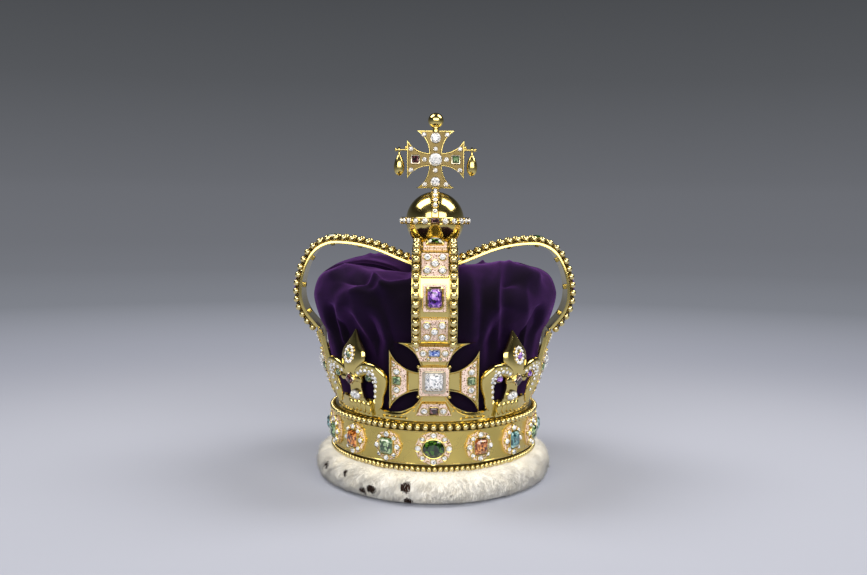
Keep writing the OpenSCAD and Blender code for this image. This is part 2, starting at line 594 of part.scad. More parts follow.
// Top cross with its stem, the gold bead over it and a pin on each side for a drop
top_cross_z = 263;
top_t = 4;
top_end_half = 16.3;
top_side_half = 16.7;
top_neck = 5.4;
pin_z = 271;
pin_r = 0.8;
pin_clearance = 0.1;
drop_x = 30.4;
module top_cross() {
    bead_z = top_cross_z + top_half_h + 1.8 + top_bead_r;
    color("gold") union() {
        translate([0, 0, top_cross_z]) rotate([90, 0, 0])
            cross_prism([top_half_w, top_half_h], [top_end_half, top_side_half], [top_neck, top_neck], 0,
                top_t);
        translate([0, 0, top_cross_z]) rotate([90, 0, 0]) cylinder(r = 7, h = top_t + 2, center = true);
        translate([0, 0, orb_z + half_band_r + stone_gap])
            cylinder(r = 2.7, h = top_cross_z - top_half_h - orb_z - half_band_r + 1);
        translate([0, 0, top_cross_z + top_half_h - 1]) cylinder(r = 2.4, h = 6);
        translate([0, 0, bead_z]) sphere(top_bead_r, $fn = 64);
        for (side = [-1, 1]) {
            translate([side * (top_half_w + drop_x + 2) / 2, 0, pin_z]) rotate([0, 90, 0])
                cylinder(r = pin_r, h = drop_x + 4 - top_half_w, center = true);
            translate([side * (drop_x + 2.6), 0, pin_z]) sphere(1.5);
        }
    }
}

// Drop: a pear of revolution under an eye that hangs on the pin
eye_r = 2.4;
eye_t = 1.8;
pear_steps = 14;
function pear(a) = [drop_r * sin(a) * pow(cos(a / 2), 0.55), -drop_l * (1 - cos(a)) / 2];
module drop(side) {
    color("gold") translate([side * drop_x, 0, pin_z]) difference() {
        union() {
            rotate([0, 90, 0]) cylinder(r = eye_r, h = eye_t, center = true);
            translate([0, 0, -5]) cylinder(r = 1, h = 3.2);
            translate([0, 0, -3.3 - drop_l]) rotate_extrude()
                polygon(concat([[0, 0]], [for (k = [1 : pear_steps - 1]) [pear(180 * k / pear_steps).x,
                    -pear(180 * k / pear_steps).y]],
                    [[0, drop_l]]));
        }
        rotate([0, 90, 0]) cylinder(r = pin_r + pin_clearance, h = 2 * eye_t, center = true);
    }
}

fur_band();
velvet_cap();
band();
color("gold") bead_tube(low_bead_r, low_bead_z);  // band_beads_low
color("gold") bead_tube(high_bead_r, high_bead_z);  // band_beads_high
band_settings();
band_small_stones();
for (i = [1 : cluster_count]) band_stone(i);
for (i = [0 : 3]) band_cross(i);
for (i = [0 : 3]) cross_stone(i);
cross_small_stones();
for (i = [0 : 3]) lily(i);
lily_stones();
for (i = [0 : 3]) arch(i);
for (i = [0 : 3]) arch_stone(i, 1);
for (i = [0 : 3]) arch_stone(i, 3);
arch_small_stones();
orb();
top_cross();
drop(-1);  // drop_left
drop(1);  // drop_right
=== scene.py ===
import math

import bmesh
import bpy
import numpy as np
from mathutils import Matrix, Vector
from mathutils.geometry import delaunay_2d_cdt


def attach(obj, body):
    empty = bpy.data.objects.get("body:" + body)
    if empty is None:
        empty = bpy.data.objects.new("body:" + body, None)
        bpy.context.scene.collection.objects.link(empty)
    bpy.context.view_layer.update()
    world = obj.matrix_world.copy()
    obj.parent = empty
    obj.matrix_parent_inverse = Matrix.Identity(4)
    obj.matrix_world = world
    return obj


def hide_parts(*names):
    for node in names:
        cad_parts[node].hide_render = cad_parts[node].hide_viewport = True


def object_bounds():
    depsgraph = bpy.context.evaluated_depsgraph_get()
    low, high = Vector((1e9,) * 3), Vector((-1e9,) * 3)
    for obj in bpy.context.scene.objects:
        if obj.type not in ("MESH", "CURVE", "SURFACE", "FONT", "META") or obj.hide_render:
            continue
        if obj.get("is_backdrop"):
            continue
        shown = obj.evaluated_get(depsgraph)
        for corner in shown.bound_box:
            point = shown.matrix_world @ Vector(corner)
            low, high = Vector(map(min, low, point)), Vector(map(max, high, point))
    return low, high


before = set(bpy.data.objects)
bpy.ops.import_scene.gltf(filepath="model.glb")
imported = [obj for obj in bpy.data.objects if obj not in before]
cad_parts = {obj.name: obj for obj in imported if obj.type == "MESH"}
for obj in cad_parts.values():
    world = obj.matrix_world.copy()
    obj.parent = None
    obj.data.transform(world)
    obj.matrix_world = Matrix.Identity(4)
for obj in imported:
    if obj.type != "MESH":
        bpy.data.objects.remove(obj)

cad_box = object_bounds()


# Seamless paper, soft boxes and camera
# The crown stands on a sweep of pale matt paper; away from the crown the paper glows with painted light that grades
# into painted grey shade. Two soft boxes stand high at the front and a wide one hangs overhead, so polished metal shows
# bright panes between dark surroundings.
MM = 0.001


def linear(code):
    """Linear colour of an sRGB hex code such as d4a63a."""
    parts = [int(code[i:i + 2], 16) / 255 for i in (0, 2, 4)]
    return tuple(p / 12.92 if p <= 0.04045 else ((p + 0.055) / 1.055) ** 2.4 for p in parts) + (1.0,)


def add(tree, kind, inputs=None, **settings):
    """Adds a node. An input is a socket to link or a value to set."""
    node = tree.nodes.new(kind)
    for name, value in settings.items():
        setattr(node, name, value)
    for name, value in (inputs or {}).items():
        if isinstance(value, bpy.types.NodeSocket):
            tree.links.new(value, node.inputs[name])
        else:
            node.inputs[name].default_value = value
    return node


def blend_stops(ramp, stops):
    """Sets a colour ramp's stops from pairs of place and hex code."""
    while len(ramp.elements) < len(stops):
        ramp.elements.new(0.5)
    for element, (place, code) in zip(ramp.elements, stops):
        element.position = place
        element.color = linear(code)


def new_finish(name):
    """An empty material and its node tree, with the output only."""
    finish = bpy.data.materials.new(name)
    finish.use_nodes = True
    tree = finish.node_tree
    for node in list(tree.nodes):
        if node.type != "OUTPUT_MATERIAL":
            tree.nodes.remove(node)
    return finish, tree, tree.nodes["Material Output"]


def put_in_scene(name, data):
    thing = bpy.data.objects.new(name, data)
    bpy.context.scene.collection.objects.link(thing)
    return thing


camera_place = Vector((-1.4, -888.0, 222.0)) * MM
camera_drop = 4.27
camera_roll = -0.45
lens = bpy.data.cameras.new("camera")
lens.sensor_width = 36
lens.lens = 43.8
camera = put_in_scene("camera", lens)
camera.location = camera_place
camera.rotation_euler = (math.radians(90 - camera_drop), math.radians(camera_roll), 0)
bpy.context.scene.camera = camera

# Matt paper, swept up into a bowl all round: lit by the lamps near the crown; further out it glows with painted light,
# pale low down and graded to painted grey shade where it rises
paper_tooth = 0.4
bowl_reach = 6.0
paper, tree, out = new_finish("paper_with_painted_glow_and_shade")
place = add(tree, "ShaderNodeTexCoord")
axes = add(tree, "ShaderNodeSeparateXYZ", {"Vector": place.outputs["Object"]})
level = add(tree, "ShaderNodeCombineXYZ", {"X": axes.outputs["X"], "Y": axes.outputs["Y"]})
reach = add(tree, "ShaderNodeVectorMath", {0: level.outputs[0]}, operation="LENGTH")
climb = add(tree, "ShaderNodeMath", {0: reach.outputs["Value"], 1: axes.outputs["Z"]}, operation="ADD")
share = add(tree, "ShaderNodeMath", {0: climb.outputs[0], 1: bowl_reach}, operation="DIVIDE")
shade = add(tree, "ShaderNodeValToRGB", {"Fac": share.outputs[0]})
blend_stops(shade.color_ramp, [(0.05, "b9bac6"), (0.1, "a9abb7"), (0.28, "7f828a"), (0.68, "6a6c72"), (0.8, "55575b"),
                               (0.9, "434548"), (1.0, "2c2d2f")])
tooth = add(tree, "ShaderNodeTexNoise", {"Vector": place.outputs["Object"], "Scale": 1 / (paper_tooth * MM)})
grain = add(tree, "ShaderNodeBump", {"Height": tooth.outputs["Fac"], "Strength": 0.05, "Distance": 0.05 * MM})
near = add(tree, "ShaderNodeBsdfDiffuse", {"Color": linear("b2b7c5"), "Normal": grain.outputs["Normal"]})
# Painted light: the far paper is an emission, a glow graded from pale to dark grey that stands in for lamplight falling
# off
painted_glow = add(tree, "ShaderNodeEmission", {"Color": shade.outputs["Color"]})
fade = add(tree, "ShaderNodeMapRange", {"Value": reach.outputs["Value"], "From Min": 0.32, "From Max": 0.95},
           interpolation_type="SMOOTHSTEP")
both = add(tree, "ShaderNodeMixShader", {0: fade.outputs[0], 1: near.outputs[0], 2: painted_glow.outputs[0]})
tree.links.new(both.outputs[0], out.inputs[0])
# Rings of the bowl: distance from the crown, height
bowl_rings = [(0.3, 0), (0.6, 0), (1, 0), (2, 0), (3, 0), (3.5, 0.08), (3.85, 0.35), (4, 0.8), (4, 2.2), (3.4, 3)]
bowl_sides = 64
sheet = bmesh.new()
rim = None
for radius, rise in bowl_rings:
    ring = [sheet.verts.new((radius * math.cos(2 * math.pi * i / bowl_sides),
                             radius * math.sin(2 * math.pi * i / bowl_sides), rise - 0.3 * MM)) for i in range(bowl_sides)]
    if rim is None:
        sheet.faces.new(ring)
    else:
        for i in range(bowl_sides):
            j = (i + 1) % bowl_sides
            sheet.faces.new((rim[i], ring[i], ring[j], rim[j]))
    rim = ring
paper_mesh = bpy.data.meshes.new("seamless_paper")
sheet.to_mesh(paper_mesh)
sheet.free()
paper_mesh.shade_smooth()
paper_mesh.materials.append(paper)
floor = put_in_scene("seamless_paper", paper_mesh)
floor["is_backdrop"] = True

world = bpy.data.worlds.new("studio")
bpy.context.scene.world = world
world.use_nodes = True
world.node_tree.nodes["Background"].inputs["Color"].default_value = linear("47484c")


def soft_box(name, place, aim, size, power, tint="ffffff"):
    lamp = bpy.data.lights.new(name, "AREA")
    lamp.shape = "RECTANGLE"
    lamp.size, lamp.size_y = size
    lamp.energy = power
    lamp.color = linear(tint)[:3]
    box = put_in_scene(name, lamp)
    box.location = place
    box.rotation_euler = (Vector(aim) - Vector(place)).to_track_quat("-Z", "Y").to_euler()
    box.visible_camera = False


crown_middle = (0, 0, 0.15)
soft_box("soft_box_left", (-0.68, 0.05, 1.25), crown_middle, (0.62, 0.8), 11, "fff9f2")
soft_box("soft_box_right", (0.78, 0.05, 1.2), crown_middle, (0.66, 0.85), 12, "fff9f2")
soft_box("soft_box_front", (0.15, -1.9, 0.9), crown_middle, (3.2, 1.1), 50, "fffaf4")
bpy.context.scene.view_settings.view_transform = "Standard"


# Plan of the crown
# Every ring of the crown is a parallel of one oval of four arcs, as a goldsmith sets it out with a compass, and
# the pieces are laid out flat on the bench and then bent to it.
band_half_w = 84.0
band_half_d = 102.0
oval_unit = (band_half_d - band_half_w) / 2
end_centre, side_centre = 4 * oval_unit, 3 * oval_unit
end_radius, side_radius = band_half_d - end_centre, band_half_w + side_centre
change = math.atan2(4, 3)
side_run, end_run = side_radius * change, end_radius * (math.pi / 2 - change)
quarter = side_run + end_run
girth = 4 * quarter


def direction(share):
    """Direction that the band faces at a share of the way round, from 0 at the right."""
    turns = np.asarray(share, float) * 4
    whole = np.floor(turns)
    part = turns - whole
    odd = whole % 2 == 1
    run = np.where(odd, 1 - part, part) * quarter
    phi = np.where(run < side_run, run / side_radius, change + (run - side_run) / end_radius)
    return np.where(odd, (whole + 1) * math.pi / 2 - phi, whole * math.pi / 2 + phi)


def oval(phi, out=0.0):
    """Point of the oval's parallel that lies out from the band's face."""
    cos, sin = np.cos(phi), np.sin(phi)
    side = np.arccos(np.clip(np.abs(cos), 0, 1)) <= change
    x = np.where(side, (side_radius + out) * cos - np.sign(cos) * side_centre, (end_radius + out) * cos)
    y = np.where(side, (side_radius + out) * sin, (end_radius + out) * sin + np.sign(sin) * end_centre)
    return x, y


def round_band(points):
    """Bends bench points to the crown: X runs along the band from the right, Y is height, Z is distance out."""
    x, y = oval(direction(points[:, 0] / girth), points[:, 2])
    return np.stack([x, y, points[:, 1]], -1)


def shifted(fit, x, y, z=0.0):
    """The same bend for a piece that is laid out round its own middle."""
    return lambda points: fit(points + np.array([x, y, z]))


class Bench:
    """Points and faces of one piece, flat on the bench and in millimetres, before it is bent to the crown."""

    def __init__(self):
        self.points, self.faces, self.finish, self.count = [], [], [], 0

    def lay(self, shape, finish=0):
        points, faces = shape
        points = np.asarray(points, float).reshape(-1, 3)
        if isinstance(faces, np.ndarray):
            self.faces += (faces + self.count).tolist()
        else:
            self.faces += [[corner + self.count for corner in face] for face in faces]
        self.points.append(points)
        self.finish += [finish] * len(faces)
        self.count += len(points)

    def make(self, name, fit, finishes, slot, nodes=(), body="crown", sharp=35.0):
        mesh = bpy.data.meshes.new(name)
        points = np.concatenate(self.points)
        mesh.from_pydata((fit(points) * MM).tolist(), [], self.faces)
        for finish in finishes:
            mesh.materials.append(finish)
        mesh.polygons.foreach_set("material_index", self.finish)
        tidy = bmesh.new()
        tidy.from_mesh(mesh)
        bmesh.ops.recalc_face_normals(tidy, faces=tidy.faces)
        tidy.to_mesh(mesh)
        tidy.free()
        mesh.shade_smooth()
        mesh.set_sharp_from_angle(angle=math.radians(sharp))
        piece = put_in_scene(name, mesh)
        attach(piece, body)
        if nodes:
            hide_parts(*nodes)
        return piece


def skin(rows, wrap=False, caps=True):
    """Faces over rows of points, each row a closed loop. wrap joins the last row to the first."""
    rows = np.asarray(rows, float)
    index = np.arange(rows.shape[0] * rows.shape[1]).reshape(rows.shape[:2])
    ends = [index[0][::-1].tolist(), index[-1].tolist()] if caps and not wrap else []
    if wrap:
        index = np.vstack([index, index[:1]])
    low, high = index[:-1], index[1:]
    quads = np.stack([low, np.roll(low, -1, 1), np.roll(high, -1, 1), high], -1).reshape(-1, 4)
    return rows.reshape(-1, 3), quads.tolist() + ends


def smooth_rows(rows, steps):
    """Rows of a table drawn through a smooth curve, with so many steps from each row to the next."""
    rows = np.asarray(rows, float)
    padded = np.vstack([2 * rows[0] - rows[1], rows, 2 * rows[-1] - rows[-2]])
    t = (np.arange(steps) / steps)[:, None]
    drawn = []
    for a, b, c, d in zip(padded, padded[1:], padded[2:], padded[3:]):
        drawn.append(0.5 * (2 * b + (c - a) * t + (2 * a - 5 * b + 4 * c - d) * t ** 2
                            + (3 * b - a - 3 * c + d) * t ** 3))
    return np.vstack(drawn + [rows[-1:]])


# Fur roll
# A stuffed roll of white ermine under the band, with a few dark tail tips sewn into it. The pelt is short and dense
# and lies down and outwards, in soft locks. It is a padded roll with some forty-seven thousand short hairs set into it.
fur_inner, fur_out, fur_h = -4.5, 13.0, 23.0
fur_pile = 1.7
fur_section = [[0, 0.02], [0.3, 0.01], [0.62, 0.02], [0.86, 0.12], [0.98, 0.34], [1.0, 0.5], [0.95, 0.7], [0.8, 0.88],
               [0.55, 0.985], [0.3, 1.0], [0.1, 0.99], [0, 0.97]]
fur_around = 360
hair_count = 47000
hair_length = (4.2, 7.0)
hair_width = 0.48
# Tail tips. Rows: distance along the band from the front, height, half width, half height, share of dark hairs.
tail_tips = [[-70.0, 15.5, 2.2, 2.9, 1.0], [-43.0, 8.6, 4.2, 3.6, 1.0], [-17.5, 13.4, 3.6, 4.4, 0.85],
             [-16.5, 3.0, 3.2, 2.4, 1.0], [13.0, 7.6, 2.6, 1.6, 0.18], [40.0, 12.4, 2.6, 1.8, 0.16],
             [61.0, 10.5, 3.0, 2.0, 0.14]]
tails_behind = 9


def fur_finish(name, stops, tone):
    """Fine hair: soft and faintly yellow, each lock a slightly different white."""
    finish, tree, out = new_finish(name)
    place = add(tree, "ShaderNodeTexCoord")
    locks = add(tree, "ShaderNodeTexNoise", {"Vector": place.outputs["Object"], "Scale": 1 / (9 * MM), "Detail": 4.0})
    hairs = add(tree, "ShaderNodeTexNoise", {"Vector": place.outputs["Object"], "Scale": 1 / (0.9 * MM)})
    both = add(tree, "ShaderNodeMath", {0: locks.outputs["Fac"], 1: hairs.outputs["Fac"]}, operation="ADD")
    half = add(tree, "ShaderNodeMath", {0: both.outputs[0], 1: 0.5}, operation="MULTIPLY")
    shade = add(tree, "ShaderNodeValToRGB", {"Fac": half.outputs[0]})
    blend_stops(shade.color_ramp, stops)
    bump = add(tree, "ShaderNodeBump", {"Height": hairs.outputs["Fac"], "Strength": 0.4, "Distance": 0.4 * MM})
    coat = add(tree, "ShaderNodeBsdfPrincipled", {
        "Base Color": shade.outputs["Color"], "Roughness": 0.8, "Sheen Weight": 0.2, "Sheen Roughness": 0.4,
        "Sheen Tint": linear(tone), "Specular IOR Level": 0.25, "Normal": bump.outputs["Normal"]})
    tree.links.new(coat.outputs[0], out.inputs[0])
    return finish


white_fur = fur_finish("white_ermine_fur", [(0.3, "f6efdc"), (0.45, "fbf7ea"), (0.62, "fffdf4")], "ffffff")
tail_fur = fur_finish("dark_tail_fur", [(0.3, "120b08"), (0.5, "2a1a12"), (0.7, "4a3020")], "80604a")

dice = np.random.default_rng(41)
behind = [[girth * (0.25 + 0.75 * (k + 0.5) / tails_behind) + 70, 5.5 + 9 * (k % 3) / 2, 3.4, 3.0, 1.0]
          for k in range(tails_behind - 2)]
tails = np.array([[row[0] % girth] + row[1:] for row in tail_tips + behind])
front_run = 3 * quarter
tails[:, 0] = (tails[:, 0] + front_run) % girth


def tail_share(run, height):
    """Share of dark hairs at places on the roll, which fades at the edge of each tail tip."""
    along = (run[:, None] - tails[None, :, 0] + girth / 2) % girth - girth / 2
    reach = (along / tails[:, 2]) ** 2 + ((height[:, None] - tails[:, 1]) / tails[:, 3]) ** 2
    return np.max(tails[:, 4] * np.clip(1.6 - 1.2 * reach, 0, 1), axis=1)


section = smooth_rows(fur_section[:-1] + [fur_section[-1]], 4)
centre_of = section.mean(0)
base = centre_of + (section - centre_of) * (1 - 0.08)
base[:, 1] = np.where(section[:, 1] < 0.1, section[:, 1], base[:, 1])
run = np.arange(fur_around) * girth / fur_around
lock_wave = 0.9 * np.sin(2 * math.pi * 11 * run / girth) * np.sin(2 * math.pi * 37 * run / girth + 1)
rows = []
for s, wave in zip(run, lock_wave):
    swell = 1 + 0.02 * wave * np.sin(math.pi * np.clip(base[:, 1], 0, 1))
    rows.append(np.stack([np.full(len(base), s), fur_h * base[:, 1], fur_inner + (fur_out - fur_inner) * base[:, 0]
                          * swell], -1))
fur = Bench()
points, faces = skin(rows, wrap=True)
middles = points[np.array(faces)].mean(1)
dark = tail_share(middles[:, 0], middles[:, 1]) > 0.5
dark &= middles[:, 2] > 2
fur.lay((points, np.array(faces)[~dark]))
fur.lay((points, np.array(faces)[dark]), 1)

outer = np.array([row for row in section if row[0] > 0.2 or row[1] > 0.5])
steps_of = np.linalg.norm(np.diff(outer * [fur_out - fur_inner, fur_h], axis=0), axis=1)
reach_of = np.concatenate([[0], np.cumsum(steps_of)])
hair_run = dice.random(hair_count) * girth
hair_at = dice.random(hair_count) * reach_of[-1]
root_out = np.interp(hair_at, reach_of, outer[:, 0])
root_z = np.interp(hair_at, reach_of, outer[:, 1])
ahead = np.interp(hair_at + 0.3, reach_of, outer[:, 0]) - np.interp(hair_at - 0.3, reach_of, outer[:, 0])
above = np.interp(hair_at + 0.3, reach_of, outer[:, 1]) - np.interp(hair_at - 0.3, reach_of, outer[:, 1])
rise = np.stack([np.zeros(hair_count), above * fur_h, ahead * (fur_out - fur_inner)], -1)
rise /= np.linalg.norm(rise, axis=1)[:, None]
face_out = np.stack([np.zeros(hair_count), -rise[:, 2], rise[:, 1]], -1)
root = np.stack([hair_run, 0.3 + root_z * fur_h, fur_inner + (fur_out - fur_inner) * root_out], -1)
root -= face_out * (fur_pile + 0.2)
drift = np.sin(hair_run / 7.1 + 0.4 * root[:, 1]) + np.sin(hair_run / 3.3 - 0.6 * root[:, 1] + 2)
lean_by = np.stack([0.3 * drift, np.zeros(hair_count), np.zeros(hair_count)], -1)
way = 0.5 * face_out - 0.9 * rise + lean_by + dice.normal(0, 0.16, (hair_count, 3))
way /= np.linalg.norm(way, axis=1)[:, None]
length = dice.uniform(*hair_length, hair_count)
tip = root + way * length[:, None]
low = tip[:, 1] < 0.25
tip[low, 1] = 0.25
aside = np.cross(way, face_out)
aside /= np.linalg.norm(aside, axis=1)[:, None]
over = np.cross(aside, way)
corners = [root + hair_width * (math.cos(a) * aside + math.sin(a) * over) / 2 for a in (0, 2.1, 4.2)]
hair_points = np.stack(corners + [tip], 1).reshape(-1, 3)
hair_points[:, 1] = np.maximum(hair_points[:, 1], 0.2)
hair_faces = (np.arange(hair_count)[:, None, None] * 4 + np.array([[0, 1, 3], [1, 2, 3], [2, 0, 3]])).reshape(-1, 3)
lain = root + 0.65 * way * length[:, None]
hair_dark = np.repeat(tail_share(lain[:, 0], lain[:, 1]) > dice.random(hair_count), 3)
fur.lay((hair_points, hair_faces[~hair_dark]))
fur.lay((hair_points, hair_faces[hair_dark]), 1)
fur_roll = fur.make("fur_roll", round_band, [white_fur, tail_fur], "white_fur", ["fur_band"], sharp=180)


# Gold band
# One raised wall of gold with a groove for each row of beads, a satin ground between them, and above it a cove that
# opens into a wall cut away in swags. The edges of the swags are bevelled and burnished.
low_bead_z, high_bead_z = 25.6, 57.3
lean = math.tan(math.radians(13))
neck_out, neck_z = -3.4, 60.6
swag_low_z, swag_r, swag_from_cross = 67.0, 25.8, 33.0
wall_top_z, lily_wall_z = 84.0, 75.0
wall_t = 2.0
band_steps = 720


def gold_finish(name, code, rough, scratch=0.03, mottle=0.12):
    """Gold: a warm mirror whose polish wanders a little, with hair scratches too fine to see one by one."""
    finish, tree, out = new_finish(name)
    place = add(tree, "ShaderNodeTexCoord")
    cloud = add(tree, "ShaderNodeTexNoise", {"Vector": place.outputs["Object"], "Scale": 1 / (14 * MM), "Detail": 5.0})
    polish = add(tree, "ShaderNodeMapRange", {"Value": cloud.outputs["Fac"], "From Min": 0.3, "From Max": 0.7,
                                              "To Min": rough * 0.7, "To Max": rough * 1.4})
    worn = tuple(c * (1 - mottle) for c in linear(code)[:3]) + (1.0,)
    tint = add(tree, "ShaderNodeMix", {0: cloud.outputs["Fac"], 6: linear(code), 7: worn}, data_type="RGBA")
    hairs = add(tree, "ShaderNodeTexNoise", {"Vector": place.outputs["Object"], "Scale": 1 / (0.8 * MM), "Detail": 3.0})
    bump = add(tree, "ShaderNodeBump", {"Height": hairs.outputs["Fac"], "Strength": scratch, "Distance": 0.1 * MM})
    metal = add(tree, "ShaderNodeBsdfPrincipled", {
        "Base Color": tint.outputs[2], "Metallic": 1.0, "Roughness": polish.outputs[0], "Normal": bump.outputs["Normal"]})
    tree.links.new(metal.outputs[0], out.inputs[0])
    return finish


polished_gold = gold_finish("polished_gold", "e4cf80", 0.14)
satin_gold = gold_finish("satin_gold", "e2cb74", 0.28, scratch=0.12)
# Painted shade: the grooves and the collars between the beads get a dark dull gold that stands in for the shade in
# these recesses
recess_shaded_gold = gold_finish("dull_gold_painted_dark_as_recess_shade", "5e5028", 0.5, scratch=0.2)


def wall_out(z):
    return neck_out + (z - neck_z) * lean


def swag_top(run):
    """Height of the wall's edge: low in each swag, higher behind the crosses and lower behind the lilies."""
    from_cross = np.abs((run + quarter / 2) % quarter - quarter / 2)
    aside = np.abs(from_cross - swag_from_cross)
    curve = swag_low_z + swag_r - np.sqrt(np.maximum(swag_r ** 2 - aside ** 2, 0))
    return np.minimum(curve, np.where(from_cross < swag_from_cross, wall_top_z, lily_wall_z))


# Rows of the band's section: height, distance out, finish from there up (0 polished, 1 satin, 2 dull and painted dark
# as shade)
band_rows = [[23.1, -3.4, 0], [23.1, 0.3, 0], [23.5, 0.7, 0], [23.8, 0.5, 2], [23.9, -1.4, 2], [28.0, -1.4, 2],
             [28.2, 0.1, 0], [28.6, 0.5, 0], [29.2, 0.45, 0], [29.5, 0.1, 1], [35, 0.0, 1], [42, 0.15, 1], [48, 0.0, 1],
             [53.4, 0.1, 0], [53.7, 0.45, 0], [54.3, 0.5, 0], [54.6, 0.1, 2], [54.8, -1.4, 2], [59.6, -1.4, 0],
             [60.2, -1.3, 0], [60.5, -1.7, 0], [60.7, -2.6, 0], [61.2, -3.2, 0], [62.6, -3.2, 0]]
# Rows of its upper edge: depth below the edge, distance out from the wall's face, distance back through the wall
edge_rows = [[5.2, 0, 0], [2.6, 0, 0], [2.2, 0.35, 0], [1.8, 0.4, 0], [0.1, -0.7, 0], [0, -1.0, 0], [0.05, -1.8, 0],
             [0.6, -wall_t, 0], [5, -wall_t, 0]]
run = np.arange(band_steps) * girth / band_steps
top = swag_top(run)
rows = []
for z, out_by, satin in band_rows:
    rows.append(np.stack([run, np.full(band_steps, z), np.full(band_steps, out_by)], -1))
for drop, out_by, back in edge_rows:
    z = np.maximum(top - drop, 63.4)
    rows.append(np.stack([run, z, wall_out(z) + out_by], -1))
for z, out_by in [(neck_z + 1, -3.4 - wall_t), (neck_z - 2, -3.4 - wall_t), (neck_z - 5, -3.4)]:
    rows.append(np.stack([run, np.full(band_steps, z), np.full(band_steps, out_by)], -1))
points, faces = skin(np.array(rows), wrap=True)
faces = np.array(faces)
finish_of = np.repeat([row[2] for row in band_rows] + [0] * (len(rows) - len(band_rows)), band_steps)
band = Bench()
for finish in range(3):
    band.lay((points, faces[finish_of == finish]), finish)
band.make("gold_band", round_band, [polished_gold, satin_gold, recess_shaded_gold], "gold", ["band"], sharp=28)


# Bead rows
# Two strings of solid gold beads soldered side by side into the band's grooves. Turned collars part the larger
# beads of the upper row.
def ball(radius, sides=14, rings=8):
    """A round bead about its own middle, with its poles along Z."""
    rows = []
    for k in range(1, rings):
        a = math.pi * k / rings
        ring = 2 * math.pi * np.arange(sides) / sides
        rows.append(np.stack([radius * math.sin(a) * np.cos(ring), radius * math.sin(a) * np.sin(ring),
                              np.full(sides, -radius * math.cos(a))], -1))
    return skin(rows)


def copies(shape, spots):
    """One shape laid at many spots. Spot columns: x, y, z, size, turn."""
    points, faces = shape
    points, spots = np.asarray(points, float), np.asarray(spots, float).reshape(-1, 5)
    cos, sin = np.cos(spots[:, 4])[:, None], np.sin(spots[:, 4])[:, None]
    turned = np.stack([points[:, 0] * cos - points[:, 1] * sin, points[:, 0] * sin + points[:, 1] * cos,
                       np.broadcast_to(points[:, 2], (len(spots), len(points)))], -1)
    turned = turned * spots[:, 3][:, None, None] + spots[:, None, :3]
    offsets = np.arange(len(spots)) * len(points)
    if len({len(face) for face in faces}) == 1:
        return turned.reshape(-1, 3), (np.array(faces)[None] + offsets[:, None, None]).reshape(-1, len(faces[0]))
    return turned.reshape(-1, 3), [[corner + offset for corner in face] for offset in offsets for face in faces]


def disc(radius, thick, sides=12):
    """A small rounded disc that stands across the X axis."""
    ring = 2 * math.pi * np.arange(sides) / sides
    rows = [np.stack([np.full(sides, x), r * np.cos(ring), r * np.sin(ring)], -1)
            for x, r in ((-thick / 2, radius * 0.8), (-thick / 4, radius), (thick / 4, radius), (thick / 2, radius * 0.8))]
    return skin(rows)


# Painted highlight: the beads get a paler, less yellow copy of the gold, so that they read with pale highlights
highlight_pale_bead_gold = gold_finish("gold_beads_painted_pale_as_highlight", "eedc9a", 0.2)
for name, node, z, radius, pitch, collared in (("beads_low", "band_beads_low", low_bead_z, 1.9, 4.25, False),
                                               ("beads_high", "band_beads_high", high_bead_z, 2.45, 6.05, True)):
    count = round(girth / pitch)
    run = np.arange(count) * girth / count
    spots = np.stack([run, np.full(count, z), np.full(count, radius - 1.3), np.ones(count), np.zeros(count)], -1)
    beads = Bench()
    beads.lay(copies(ball(radius, 14, 9), spots))
    between = spots + [girth / count / 2, 0, -0.4, 0, 0]
    # The collars between the beads take the gold painted dark as shade
    beads.lay(copies(disc(radius * (0.62 if collared else 0.5), 0.9 if collared else 0.8), between), 1)
    beads.make(name, round_band, [highlight_pale_bead_gold, recess_shaded_gold], "gold", [node], sharp=60)


# Clusters on the band
# Sixteen plaques of openwork gold, enamelled a pinkish white, stand on the satin ground. Each holds one large
# coloured stone in a gold rim and eight white stones in collets of their own, with a grained edge round it all.
cluster_count, cluster_front = 16, 12
cluster_z = (low_bead_z + high_bead_z) / 2
plate_h, cup_h = 2.2, 1.2
# Middle stones by place. Columns: width, height, slot, cut.
cluster_rows = {4: (16, 14, "dark_green_stone", "oval"), 0: (12, 12.5, "teal_stone", "step"),
                1: (11, 12, "green_stone", "step"), 2: (12, 13, "orange_stone", "step"), 3: (11, 12, "green_stone", "step"),
                5: (11.5, 12, "orange_stone", "step"), 6: (11, 13, "teal_stone", "step"),
                7: (11, 12, "green_stone", "oval")}


def loop(w, l, corner=None, steps=6):
    """A closed outline: an oval, or a rectangle with rounded corners."""
    if corner is None:
        a = math.pi / 2 * np.arange(4 * steps) / steps
        return np.stack([w / 2 * np.cos(a), l / 2 * np.sin(a)], -1)
    corner = min(corner, w / 2 - 0.001, l / 2 - 0.001)
    parts = []
    for k, (sx, sy) in enumerate(((1, 1), (-1, 1), (-1, -1), (1, -1))):
        a = math.pi / 2 * (k + np.arange(steps) / (steps - 1))
        parts.append(np.stack([sx * (w / 2 - corner) + corner * np.cos(a),
                               sy * (l / 2 - corner) + corner * np.sin(a)], -1))
    return np.concatenate(parts)


def grown(corners, out):
    """A convex outline moved outwards by a distance. Its corners run anticlockwise."""
    corners = np.asarray(corners, float)
    edge = np.roll(corners, -1, 0) - corners
    normal = np.stack([edge[:, 1], -edge[:, 0]], -1) / np.linalg.norm(edge, axis=1)[:, None]
    before = np.roll(normal, 1, 0)
    return corners + out * (normal + before) / (1 + np.sum(normal * before, axis=1))[:, None]


def formed(outline, rows, wrap=False):
    """A form whose rows follow an outline. Row columns: distance outside the outline, height."""
    return skin([np.column_stack([outline(out), np.full(len(outline(out)), z)]) for out, z in rows], wrap=wrap)


